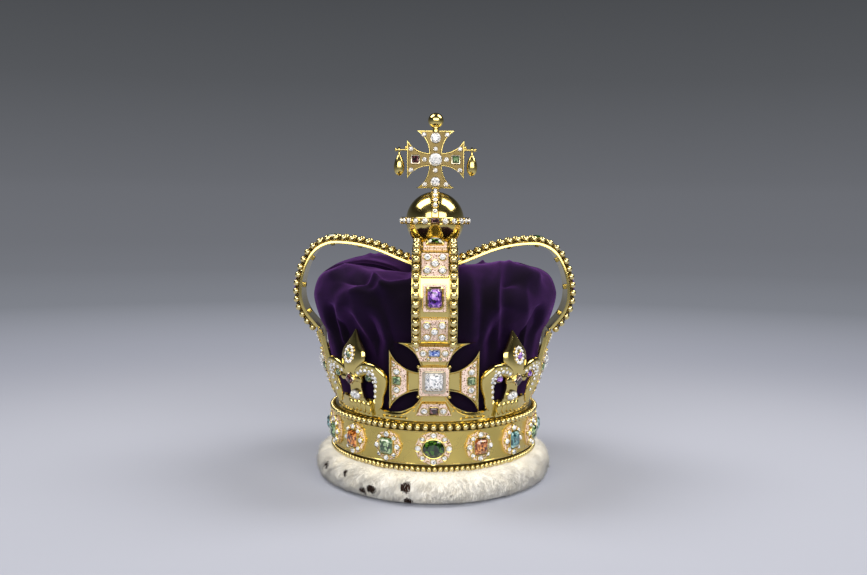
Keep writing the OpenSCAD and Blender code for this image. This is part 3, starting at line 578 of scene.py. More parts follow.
def moved(shape, x, y, z=0.0, turn=0.0, size=1.0):
    points, faces = shape
    cos, sin = math.cos(turn), math.sin(turn)
    points = np.asarray(points) * size
    return np.stack([points[:, 0] * cos - points[:, 1] * sin + x, points[:, 0] * sin + points[:, 1] * cos + y,
                     points[:, 2] + z], -1), faces


def strung(outline, pitch):
    """Points spaced evenly along a closed outline."""
    closed = np.vstack([outline, outline[:1]])
    length = np.concatenate([[0], np.cumsum(np.linalg.norm(np.diff(closed, axis=0), axis=1))])
    count = max(3, round(length[-1] / pitch))
    at = np.arange(count) * length[-1] / count
    return np.stack([np.interp(at, length, closed[:, 0]), np.interp(at, length, closed[:, 1])], -1)


def spots_at(places, z, size=1.0):
    places = np.asarray(places, float).reshape(-1, 2)
    return np.column_stack([places, np.full(len(places), z), np.full(len(places), size), np.zeros(len(places))])


def brilliant(w, l, h):
    """A round or oval stone: a table, eight star facets, eight kites, sixteen facets to the girdle, and a point."""
    table = 2 * math.pi * np.arange(8) / 8
    kite = table + math.pi / 8
    rim = 2 * math.pi * np.arange(16) / 16

    def ring(a, share, z):
        return np.stack([w / 2 * share * np.cos(a), l / 2 * share * np.sin(a), np.full(len(a), z)], -1)

    points = np.vstack([ring(table, 0.56, h), ring(kite, 0.8, 0.62 * h), ring(rim, 1.0, 0.12 * h),
                        ring(rim, 1.0, 0), [[0, 0, -0.5 * h]]])
    faces = [list(range(8))]
    for i in range(8):
        n, p = (i + 1) % 8, (i - 1) % 8
        faces += [[8 + i, n, i], [i, 8 + p, 16 + 2 * i, 8 + i], [8 + i, 16 + 2 * i, 17 + 2 * i],
                  [8 + i, 17 + 2 * i, 16 + (2 * i + 2) % 16]]
    for i in range(16):
        j = (i + 1) % 16
        faces += [[16 + i, 32 + i, 32 + j, 16 + j], [32 + i, 48, 32 + j]]
    return points, faces


def step_cut(w, l, h, cut=0.16):
    """A square or oblong stone with cut corners: a table and three rows of steps."""
    c = cut * min(w, l)
    corners = [[w / 2, c - l / 2], [w / 2, l / 2 - c], [w / 2 - c, l / 2], [c - w / 2, l / 2], [-w / 2, l / 2 - c],
               [-w / 2, c - l / 2], [c - w / 2, -l / 2], [w / 2 - c, -l / 2]]
    inset = min(w, l)
    return formed(lambda out: np.asarray(corners) * [1 + 2 * out / w, 1 + 2 * out / l],
                  [(-0.3 * inset, -0.5 * h), (0, 0), (0, 0.12 * h), (-0.09 * inset, 0.55 * h), (-0.17 * inset, 0.82 * h),
                   (-0.25 * inset, h)])


def stone_finish(name, stops, facet, ior, rough=0.03):
    """Cut stone: its facets are painted in patches from dark to bright, painted light and shade that stand in for the
    light each facet sends back from inside, and the polish adds glints.
    """
    finish, tree, out = new_finish(name)
    place = add(tree, "ShaderNodeTexCoord")
    face = add(tree, "ShaderNodeNewGeometry")
    apart = add(tree, "ShaderNodeVectorMath", {0: face.outputs["True Normal"], 1: (3.1, 4.3, 5.7)}, operation="MULTIPLY")
    scaled = add(tree, "ShaderNodeVectorMath", {0: place.outputs["Object"], 3: 1 / (facet * MM)}, operation="SCALE")
    both = add(tree, "ShaderNodeVectorMath", {0: apart.outputs[0], 1: scaled.outputs[0]}, operation="ADD")
    painted_facet_light = add(tree, "ShaderNodeTexVoronoi", {"Vector": both.outputs[0], "Scale": 1.0, "Randomness": 0.9},
                  distance="CHEBYCHEV")
    split = add(tree, "ShaderNodeSeparateColor", {"Color": painted_facet_light.outputs["Color"]})
    shade = add(tree, "ShaderNodeValToRGB", {"Fac": split.outputs[0]})
    blend_stops(shade.color_ramp, stops)
    stone = add(tree, "ShaderNodeBsdfPrincipled", {
        "Base Color": shade.outputs["Color"], "Roughness": rough, "IOR": ior, "Coat Weight": 0.6,
        "Coat Roughness": 0.02})
    tree.links.new(stone.outputs[0], out.inputs[0])
    return finish


def enamel_finish(name, enamel, gap):
    """Enamelled openwork: pinkish white scrolls with grained gold, and the gaps between them painted dark as the shade
    inside the openwork's holes.
    """
    finish, tree, out = new_finish(name)
    place = add(tree, "ShaderNodeTexCoord")
    curls = add(tree, "ShaderNodeTexVoronoi", {"Vector": place.outputs["Object"], "Scale": 1 / (1.5 * MM)},
                feature="DISTANCE_TO_EDGE")
    wander = add(tree, "ShaderNodeTexNoise", {"Vector": place.outputs["Object"], "Scale": 1 / (2.4 * MM), "Detail": 3.0})
    edge = add(tree, "ShaderNodeMath", {0: curls.outputs["Distance"], 1: wander.outputs["Fac"]}, operation="MULTIPLY")
    shade = add(tree, "ShaderNodeValToRGB", {"Fac": edge.outputs[0]})
    # The gap colour is painted shade: the sheet has no holes, so the dark stands in for shade seen through them
    blend_stops(shade.color_ramp, [(0.0, enamel), (0.08, enamel), (0.12, "c89a68"), (0.2, gap)])
    gold = add(tree, "ShaderNodeMapRange", {"Value": edge.outputs[0], "From Min": 0.12, "From Max": 0.18})
    bump = add(tree, "ShaderNodeBump", {"Height": edge.outputs[0], "Strength": 0.6, "Distance": 0.4 * MM}, invert=True)
    glaze = add(tree, "ShaderNodeBsdfPrincipled", {
        "Base Color": shade.outputs["Color"], "Metallic": gold.outputs[0], "Roughness": 0.25,
        "Normal": bump.outputs["Normal"]})
    tree.links.new(glaze.outputs[0], out.inputs[0])
    return finish


# Each ramp runs from painted shade to painted light across the facets
stone_finishes = {
    "white_stone": stone_finish("white_topaz", [(0.0, "3c4148"), (0.2, "9aa1a8"), (0.42, "e2e6ea"), (0.7, "ffffff")],
                                1.1, 2.0),
    "green_stone": stone_finish("green_peridot", [(0.0, "0f1d12"), (0.4, "33502f"), (0.7, "64885a"), (0.9, "b4cca0")],
                                2.2, 1.75),
    "dark_green_stone": stone_finish("dark_green_tourmaline", [(0.0, "040a03"), (0.5, "0e2408"), (0.8, "1f4a10"),
                                                               (0.95, "5c8a2a")], 2.6, 1.7),
    "teal_stone": stone_finish("teal_aquamarine", [(0.0, "0c2024"), (0.4, "285258"), (0.7, "558a8e"), (0.9, "acd2d2")],
                               2.4, 1.7),
    "orange_stone": stone_finish("orange_topaz", [(0.0, "2a1002"), (0.35, "6e3208"), (0.65, "b0601a"), (0.9, "eaa050")],
                                 1.9, 1.75),
    "purple_stone": stone_finish("purple_amethyst", [(0.0, "180830"), (0.4, "48208c"), (0.7, "7e48c4"), (0.9, "d09cf0")],
                                 2.2, 1.7)}
blue_stone = stone_finish("blue_sapphire", [(0.0, "101e50"), (0.4, "2f4fa8"), (0.7, "7f9fe0"), (0.9, "dfe8ff")], 1.8, 1.8)
red_stone = stone_finish("dark_garnet", [(0.0, "0c0306"), (0.5, "2a0a12"), (0.8, "5a1c26"), (0.95, "b08088")], 2.0, 1.8)
# The dark brown is the painted shade of the openwork's gaps
enamel = enamel_finish("pink_white_enamelled_filigree", "f6e2d8", "3a2010")
silver_gilt = gold_finish("pale_silver_gilt", "e8dcc0", 0.18)


def collet(w, l, corner=None, wall=0.45, h=1.0):
    """A rim that holds a stone, open at the top."""
    return formed(lambda out: loop(w + 2 * out, l + 2 * out, None if corner is None else corner + out, steps=4),
                  [(wall, 0), (wall, 0.8 * h), (0.5 * wall, h), (-0.1, 0.9 * h), (-0.1, 0)], wrap=True)


def curl(radius, wire=0.24, sides=8):
    """A closed ring of wire that lies flat."""
    ring = 2 * math.pi * np.arange(sides) / sides
    rows = []
    for a in (math.pi / 2, 7 * math.pi / 6, 11 * math.pi / 6):
        r = radius + wire * math.cos(a)
        rows.append(np.stack([r * np.cos(ring), r * np.sin(ring), np.full(sides, wire * math.sin(a))], -1))
    return skin(rows, wrap=True)


grain = ball(0.55, 6, 4)
claw = ball(0.42, 5, 3)


def claws(w, l, count=4, first=math.pi / 4):
    a = first + 2 * math.pi * np.arange(count) / count
    return np.stack([(w / 2) * np.cos(a), (l / 2) * np.sin(a)], -1)


settings, whites = Bench(), Bench()
for i in range(cluster_count):
    w, l, slot, cut = cluster_rows[i % 8] if i != cluster_front else cluster_rows[4]
    if i == 4:
        w, l, slot, cut = cluster_rows[3]
    middle = i / cluster_count * girth
    petals = [((w / 2 + 3) * math.cos(math.pi * k / 4), (l / 2 + 2.7) * math.sin(math.pi * k / 4), 5 if k % 2 == 0 else 4.2)
              for k in range(8)]
    half_w, half_l = w / 2 + 5.6, l / 2 + 5.3
    around = 2 * math.pi * np.arange(96) / 96
    scallop = 0.55 * np.abs(np.cos(8 * around / 2)) - 0.3

    def plaque(out, half_w=half_w, half_l=half_l):
        return np.stack([(half_w + scallop + out) * np.cos(around), (half_l + scallop + out) * np.sin(around)], -1)

    settings.lay(moved(formed(plaque, [(0, 0.1), (0.2, 0.5), (0.2, 1.1), (-0.3, 1.6), (-1.2, 1.9), (-2.4, 2.0)]),
                       middle, cluster_z))
    settings.lay(moved(copies(grain, spots_at(strung(plaque(0.0), 1.35), 1.25)), middle, cluster_z), 1)
    settings.lay(moved(copies(curl(0.8), spots_at(strung(plaque(-1.5), 2.1), 2.05)), middle, cluster_z))
    between = [((w / 2 + 3.6) * math.cos(math.pi * (k + 0.5) / 4), (l / 2 + 3.3) * math.sin(math.pi * (k + 0.5) / 4))
               for k in range(8)]
    settings.lay(moved(copies(grain, spots_at(between, 2.3, 1.2)), middle, cluster_z), 1)
    for x, y, size in petals:
        spread = 1 + 0.35 / math.hypot(x, y)
        settings.lay(moved(collet(size - 0.4, size - 0.4, h=1.3), middle + x * spread, cluster_z + y * spread, 1.9), 1)
        settings.lay(moved(copies(claw, spots_at(claws(size, size), 3.1)), middle + x * spread, cluster_z + y * spread), 1)
        whites.lay(moved(brilliant(size - 0.5, size - 0.5, 1.6), middle + x * spread, cluster_z + y * spread, 2.6,
                         turn=0.3 * i))
    corner = None if cut == "oval" else 1.4
    settings.lay(moved(formed(lambda out: loop(w + 2 * out, l + 2 * out, None if corner is None else corner + out),
                              [(0.9, 1.8), (0.9, 3.2), (0.75, 3.9), (0.3, 4.1), (-0.1, 3.9), (-0.1, 1.8)], wrap=True),
                       middle, cluster_z), 1)
    stone = Bench()
    stone.lay(brilliant(w, l, 3.0) if cut == "oval" else step_cut(w, l, 3.0))
    node = "band_stone_%d" % (16 if i == 0 else i)
    stone.make("cluster_stone_%d" % (16 if i == 0 else i), shifted(round_band, middle, cluster_z, 3.4),
               [stone_finishes[slot]], slot, [node], sharp=1)
settings.make("cluster_settings", round_band, [enamel, polished_gold], "enamelled_setting", ["band_settings"], sharp=50)
whites.make("cluster_whites", round_band, [stone_finishes["white_stone"]], "white_stone", ["band_small_stones"], sharp=1)


# Crosses on the band
# Four splayed crosses, each a slightly hollowed plate of polished gold that leans out with the wall and runs down
# into it, with a bevelled edge. A square plaque holds a large white stone at the middle, and each arm has a
# plaque of enamelled filigree with three stones.
side_names = ["right", "back", "left", "front"]
side_angles = [0.0, math.pi / 2, math.pi, 1.5 * math.pi]
cross_half_w, cross_half_h, cross_z = 34.0, 29.8, 93.2
cross_tip_w, cross_tip_h, cross_neck_w, cross_neck_h = 31.0, 25.0, 9.5, 7.3
cross_plate, cross_sink_from, cross_sink_to = 2.5, -16.0, -26.2
swag_mid_y = swag_low_z + swag_r - cross_z


def on_cross(i):
    """Bends bench points to a cross: X along the band, Y up from the cross's middle, Z out from the wall."""
    radius, shift = (side_radius, -side_centre) if i % 2 == 0 else (end_radius, end_centre)
    cos, sin = math.cos(side_angles[i]), math.sin(side_angles[i])

    def fit(points):
        x, z = points[:, 0], cross_z + points[:, 1]
        sink = np.clip((points[:, 1] - cross_sink_to) / (cross_sink_from - cross_sink_to), 0, 1)
        sink = sink * sink * (3 - 2 * sink)
        lift = np.minimum(points[:, 2], cross_plate) * sink + np.maximum(points[:, 2] - cross_plate, 0) - 0.3 * (1 - sink)
        reach = radius + wall_out(z) + lift
        out = shift + np.sqrt(reach ** 2 - x ** 2)
        return np.stack([out * cos - x * sin, out * sin + x * cos, z], -1)

    return fit


def cross_quarter(half, tips, necks, inset, upright=None, steps=14):
    """Edge of a quarter of a cross, from its upright arm's tip through the neck to its side arm's tip."""
    r_up = ((half[1] - necks[1]) ** 2 + (tips[0] - necks[0]) ** 2) / (2 * (tips[0] - necks[0]))
    r_side = ((half[0] - necks[0]) ** 2 + (tips[1] - necks[1]) ** 2) / (2 * (tips[1] - necks[1]))
    up_mid, r_up = upright or ((necks[0] + r_up, necks[1]), r_up)
    side_mid = (necks[0], necks[1] + r_side)
    r_up, r_side = r_up + inset, r_side + inset
    apart = (side_mid[0] - up_mid[0], side_mid[1] - up_mid[1])
    gap = math.hypot(*apart)
    along = (gap ** 2 + r_up ** 2 - r_side ** 2) / (2 * gap)
    across = math.sqrt(r_up ** 2 - along ** 2)
    neck = min(((up_mid[0] + (along * apart[0] + s * across * apart[1]) / gap,
                 up_mid[1] + (along * apart[1] - s * across * apart[0]) / gap) for s in (-1, 1)),
               key=lambda p: math.hypot(p[0] - necks[0], p[1] - necks[1]))
    top_y = half[1] - inset
    start = math.atan2(top_y - up_mid[1], -math.sqrt(max(r_up ** 2 - (top_y - up_mid[1]) ** 2, 0)))
    stop = math.atan2(neck[1] - up_mid[1], neck[0] - up_mid[0]) % (2 * math.pi)
    a = np.linspace(start, stop, steps)
    first = np.stack([up_mid[0] + r_up * np.cos(a), up_mid[1] + r_up * np.sin(a)], -1)
    side_x = half[0] - inset
    start = math.atan2(neck[1] - side_mid[1], neck[0] - side_mid[0])
    stop = math.atan2(-math.sqrt(max(r_side ** 2 - (side_x - side_mid[0]) ** 2, 0)), side_x - side_mid[0])
    a = np.linspace(start, stop, steps)
    second = np.stack([side_mid[0] + r_side * np.cos(a), side_mid[1] + r_side * np.sin(a)], -1)
    return np.vstack([first, second[1:]])


def straight(a, b, steps):
    t = (np.arange(1, steps) / steps)[:, None]
    return np.asarray(a) + (np.asarray(b) - np.asarray(a)) * t


def cross_outline(half, tips, necks, inset, lower=None):
    """Whole edge of a cross, anticlockwise. lower replaces the quarter below, given as its own outline."""
    quarter_line = cross_quarter(half, tips, necks, inset)
    under = cross_quarter(half, tips, necks, inset) if lower is None else lower(inset)
    parts = [quarter_line[::-1], quarter_line * [-1, 1], under[::-1] * [-1, -1], under * [1, -1]]
    line = []
    for k in range(4):
        line += [parts[k], straight(parts[k][-1], parts[(k + 1) % 4][0], 7)]
    return np.vstack(line)


def inside(points, outline):
    """Which points lie inside an outline."""
    x, y = points[:, :1], points[:, 1:]
    a, b = outline, np.roll(outline, -1, 0)
    crosses = (a[:, 1] > y) != (b[:, 1] > y)
    with np.errstate(divide="ignore", invalid="ignore"):
        at = a[:, 0] + (y - a[:, 1]) * (b[:, 0] - a[:, 0]) / (b[:, 1] - a[:, 1])
    return (crosses & (x < at)).sum(1) % 2 == 1


def filled(outline, height_of, pitch=2.5):
    """A sheet over the inside of an outline, with points enough to bend. height_of gives Z from X and Y."""
    low, high = outline.min(0), outline.max(0)
    grid = np.stack(np.meshgrid(np.arange(low[0], high[0], pitch), np.arange(low[1], high[1], pitch)), -1).reshape(-1, 2)
    grid = grid[inside(grid, outline)]
    gap = np.linalg.norm(grid[:, None] - outline[None], axis=2).min(1)
    grid = grid[gap > 0.4 * pitch]
    every = np.vstack([outline, grid])
    found = delaunay_2d_cdt([Vector(p) for p in every], [], [list(range(len(outline)))], 1, 1e-5)
    flat = np.array([list(p) for p in found[0]])
    return np.column_stack([flat, height_of(flat)]), [list(face) for face in found[2]]


def lower_quarter(inset):
    """Below the neck a cross's edge runs along the swag and then down into the wall."""
    turned = ((swag_from_cross, -swag_mid_y), swag_r)
    half = [cross_half_w, cross_z - swag_low_z]
    return cross_quarter(half, [cross_tip_w, cross_tip_h], [cross_neck_w, cross_neck_h], inset, turned)


def cross_edge(inset):
    return cross_outline([cross_half_w, cross_half_h], [cross_tip_w, cross_tip_h], [cross_neck_w, cross_neck_h], inset,
                         lower_quarter)


def dished(rim, depth, reach):
    """Height of a hollowed face: it falls away from the rim line to a depth."""
    def height_of(flat):
        gap = np.linalg.norm(flat[:, None] - rim[None], axis=2).min(1)
        return cross_plate + 0.05 - depth * (1 - np.exp(-gap / reach))
    return height_of


def setting(bench, corners, top, grains=True):
    """A raised plaque with a grained edge, from its corners."""
    bench.lay(formed(lambda out: subdivided(grown(corners, out)), [(0, cross_plate - 1.2), (0, top - 0.35), (-0.4, top),
                                                                   (-0.9, top)]))
    if grains:
        bench.lay(copies(grain, spots_at(strung(grown(corners, 0.1), 1.25), top - 0.25, 1.0)), 1)
        bench.lay(copies(curl(0.7), spots_at(strung(grown(corners, -1.35), 1.75), top + 0.05)))


def subdivided(corners, steps=4):
    t = (np.arange(steps) / steps)[None, :, None]
    return (corners[:, None] + (np.roll(corners, -1, 0) - corners)[:, None] * t).reshape(-1, 2)


def stone_in(settings_bench, stone_bench, x, y, w, l, top, cut, h=1.6, turn=0.0):
    """One stone in its collet; a round stone also gets four claws."""
    if cut == "round":
        settings_bench.lay(moved(collet(w, l, h=0.9), x, y, top), 1)
        settings_bench.lay(moved(copies(claw, spots_at(claws(w + 0.3, l + 0.3), top + 0.9)), x, y), 1)
        stone_bench.lay(moved(brilliant(w, l, h), x, y, top + 0.35, turn))
    else:
        settings_bench.lay(moved(collet(w, l, 0.5, h=0.9), x, y, top, turn), 1)
        stone_bench.lay(moved(step_cut(w, l, h), x, y, top + 0.35, turn))


top_corners = [[-10.6, 15.8], [10.6, 15.8], [16.1, 27.2], [-16.1, 27.2]]
right_corners = [[20.6, -8.2], [31.9, -16.2], [31.9, 16.2], [20.6, 8.2]]
left_corners = [[-20.6, 8.2], [-31.9, 16.2], [-31.9, -16.2], [-20.6, -8.2]]
foot_corners = [[-13.6, -27.4], [13.6, -27.4], [8.7, -17.4], [-8.7, -17.4]]
boss = 22.4
cross_top = cross_plate + 1.3
# Stones of the arms. Columns: distance along, height, width, length, cut, bench.
arm_rows = [[0, 22.3, 8.6, 5.2, "step", "blue"], [-8.2, 22.1, 4.9, 4.9, "round", "white"],
            [8.2, 22.1, 4.9, 4.9, "round", "white"], [-12.9, 24.9, 2.6, 2.6, "round", "white"],
            [12.9, 24.9, 2.6, 2.6, "round", "white"], [-4.6, 18.0, 2.2, 2.2, "round", "white"],
            [4.6, 18.0, 2.2, 2.2, "round", "white"], [-28.2, 0, 6.0, 6.4, "step", "green"],
            [-28.2, 7.1, 5.1, 5.1, "round", "white"], [-28.2, -7.1, 5.1, 5.1, "round", "white"],
            [-30.1, 12.4, 2.4, 2.4, "round", "white"], [-30.1, -12.4, 2.4, 2.4, "round", "white"],
            [28.2, 0, 6.0, 6.4, "step", "green"], [28.2, 7.1, 5.1, 5.1, "round", "white"],
            [28.2, -7.1, 5.1, 5.1, "round", "white"], [30.1, 12.4, 2.4, 2.4, "round", "white"],
            [30.1, -12.4, 2.4, 2.4, "round", "white"], [0, -23.6, 7.0, 6.4, "step", "red"],
            [-7.2, -23.6, 5.2, 5.2, "round", "white"], [7.2, -23.6, 5.2, 5.2, "round", "white"]]
arm_finishes = [stone_finishes["white_stone"], stone_finishes["green_stone"], blue_stone, red_stone]
arm_order = ["white", "green", "blue", "red"]
rim_rows = [(0, 0.1), (0, 2.9), (0.3, 3.4), (0.8, 3.5), (1.7, cross_plate + 0.05)]


def rim_height(line, z):
    """The raised edge dies away towards the foot."""
    share = np.clip((line[:, 1] - cross_sink_to) / 9.0, 0, 1)
    return min(z, cross_plate) + max(z - cross_plate, 0) * share


for i, side in enumerate(side_names):
    plate = Bench()
    outlines = [cross_edge(inset) for inset, _ in rim_rows]
    plate.lay(skin([np.column_stack([line, rim_height(line, z)]) for line, (_, z) in zip(outlines, rim_rows)],
                   caps=False))
    plate.lay(filled(outlines[-1], dished(outlines[-1], 0.8, 3.0)))
    under, faces = filled(outlines[0], lambda flat: np.full(len(flat), 0.1))
    plate.lay((under, [face[::-1] for face in faces]))
    plate.make("cross_%s_plate" % side, on_cross(i), [polished_gold], "gold", ["cross_%s" % side], sharp=25)
    mounts, small, large = Bench(), {key: Bench() for key in arm_order}, Bench()
    for corners in (top_corners, right_corners, left_corners, foot_corners):
        setting(mounts, np.array(corners), cross_top)
    mounts.lay(formed(lambda out: loop(boss + 2 * out, boss + 2 * out, 1.2 + out),
                      [(0, cross_plate - 1), (0, cross_plate + 1.6), (-0.5, cross_plate + 2), (-1.5, cross_plate + 2)]))
    edge_line = strung(loop(boss + 0.5, boss + 0.5, 1.4), 1.5)
    mounts.lay(copies(grain, spots_at(edge_line, cross_plate + 1.5, 1.25)), 1)
    mounts.lay(copies(curl(0.75), spots_at(strung(loop(boss - 3.4, boss - 3.4, 1.0), 1.9), cross_plate + 2.05)))
    mounts.lay(copies(ball(1.35, 12, 8), spots_at([[sx * (boss / 2 + 0.6), sy * (boss / 2 + 0.6)] for sx in (-1, 1)
                                                  for sy in (-1, 1)], cross_plate + 1.4)), 1)
    for grow, z in ((1.5, 2.9), (0.55, 3.5)):
        mounts.lay(formed(lambda out: loop(14 + 2 * (grow + out), 14 + 2 * (grow + out), 0.8 + grow + out),
                          [(0.4, cross_plate + 1.8), (0.4, cross_plate + z - 0.2), (0, cross_plate + z),
                           (-0.5, cross_plate + z - 0.2), (-0.5, cross_plate + 1.8)], wrap=True), 2)
    for x, y, w, l, cut, key in arm_rows:
        stone_in(mounts, small[key], x, y, w, l, cross_top, cut, h=1.9 if cut == "step" else 1.6)
    mounts.make("cross_%s_settings" % side, on_cross(i), [enamel, polished_gold, silver_gilt], "enamelled_setting",
                ["cross_%s" % side], sharp=50)
    large.lay(step_cut(13.6, 13.6, 3.4, 0.1))
    large.make("cross_%s_middle_stone" % side, lambda points, i=i: on_cross(i)(points + [0, 0, cross_plate + 2.4]),
               [stone_finishes["white_stone"]], "white_stone", ["cross_stone_%s" % side], sharp=1)
    stones = Bench()
    for k, key in enumerate(arm_order):
        for points, faces, finish in [(np.concatenate(small[key].points), small[key].faces, k)]:
            stones.lay((points, faces), finish)
    stones.make("cross_%s_arm_stones" % side, on_cross(i), arm_finishes, "white_stone", ["cross_small_stones"], sharp=1)


# Lilies
# Four cast lilies between the crosses: a pointed upright leaf, two leaves that curl over and down to a hook, and a
# bar that ties them, on a foot of gadroons. Fields of small white stones follow the leaves round one coloured stone.
lily_tip_z, lily_half_w, lily_shift = 126.5, 31.0, 0.0086
lily_h = (lily_tip_z - neck_z) / math.cos(math.atan(lean))
knot_y = 0.469 * lily_h
# Upright leaf. Columns: height as a share, half width, half thickness, distance forward.
leaf_rows = [[0.42, 4, 2.4, 1.8], [0.5, 8, 3.4, 1.8], [0.6, 12, 4.4, 0.6], [0.7, 14, 4.6, -1.2], [0.78, 13.2, 4.4, -3],
             [0.84, 9.5, 3.8, -4.6], [0.92, 4.8, 2.6, -6.8], [1, 0.7, 0.7, -9]]
# Curled leaf. Columns: distance out and height as shares, half width, half thickness, distance forward.
curl_rows = [[0.06, 0.47, 3, 2.2, 1.5], [0.29, 0.547, 4.2, 3, 2], [0.55, 0.61, 5, 3.4, 2.8], [0.8, 0.605, 5.4, 3.6, 3],
             [0.94, 0.525, 5.6, 3.6, 3], [0.91, 0.415, 5.2, 3.4, 2.8], [0.83, 0.3, 4.4, 3, 2.6], [0.8, 0.2, 3.6, 2.6, 3],
             [0.76, 0.14, 1.4, 1.4, 4]]
leaf_sides = 20


def on_wall(share):
    """Bends bench points to the leaning wall: X along the band, Y up the wall from its neck, Z out of it."""
    tilt = math.atan(lean)

    def fit(points):
        out = wall_out(neck_z) + 0.1 + points[:, 1] * math.sin(tilt) + points[:, 2] * math.cos(tilt)
        x, y = oval(direction(share + points[:, 0] / girth), out)
        return np.stack([x, y, neck_z + points[:, 1] * math.cos(tilt) - points[:, 2] * math.sin(tilt)], -1)

    return fit


def leaf_section(half_w, half_t, forward, ribs):
    """Half width and depth round a leaf: full and ribbed in front, flatter behind."""
    a = 2 * math.pi * (np.arange(leaf_sides) + 0.5) / leaf_sides
    front = np.sin(a) > 0
    depth = half_t * np.where(front, np.abs(np.sin(a)) ** 0.8, -0.5 * np.abs(np.sin(a)))
    depth = depth + np.where(front, ribs * np.cos(3 * math.pi * np.cos(a)) * np.abs(np.sin(a)), 0)
    return half_w * np.cos(a), forward + depth


leaf_path = smooth_rows(leaf_rows, 5)


def upright_leaf():
    rows = []
    for share, half_w, half_t, forward in leaf_path:
        x, z = leaf_section(half_w, half_t, forward, 0.28 * min(1, max(0, (share - 0.6) * 6)))
        rows.append(np.stack([x, np.full(leaf_sides, share * lily_h), z], -1)[::-1])
    return skin(rows)


curl_path = smooth_rows(curl_rows, 5)
curl_mid = curl_path[:, :2] * [lily_half_w, lily_h]
curl_along = np.gradient(curl_mid, axis=0)
curl_aside = np.stack([curl_along[:, 1], -curl_along[:, 0]], -1) / np.linalg.norm(curl_along, axis=1)[:, None]


def curled_leaf(side):
    rows = []
    for mid, aside, (_, _, half_w, half_t, forward) in zip(curl_mid, curl_aside, curl_path):
        x, z = leaf_section(half_w, half_t, forward, 0.0)
        z = z + 0.35 * half_t * np.clip(-x / half_w, 0, 1) * (z > forward)
        line = mid + aside * x[:, None]
        rows.append(np.stack([side * line[:, 0], line[:, 1], z], -1))
    return skin(rows)


def on_curl(side, share, aside_share):
    """A place on a curled leaf's face at a share of its length."""
    at = share * (len(curl_path) - 1)
    pick = [float(np.interp(at, np.arange(len(curl_path)), column)) for column in
            (*curl_mid.T, *curl_aside.T, curl_path[:, 2], curl_path[:, 3], curl_path[:, 4])]
    x, y = pick[0] + pick[2] * aside_share * pick[4], pick[1] + pick[3] * aside_share * pick[4]
    return side * x, y, pick[6] + pick[5] * (0.95 - 0.3 * abs(aside_share))


def leaf_face(x, y):
    """Height of the upright leaf's front."""
    half_w, half_t, forward = (float(np.interp(y / lily_h, leaf_path[:, 0], leaf_path[:, k])) for k in (1, 2, 3))
    return forward + half_t * (1 - min(1, abs(x) / half_w) ** 2) ** 0.4


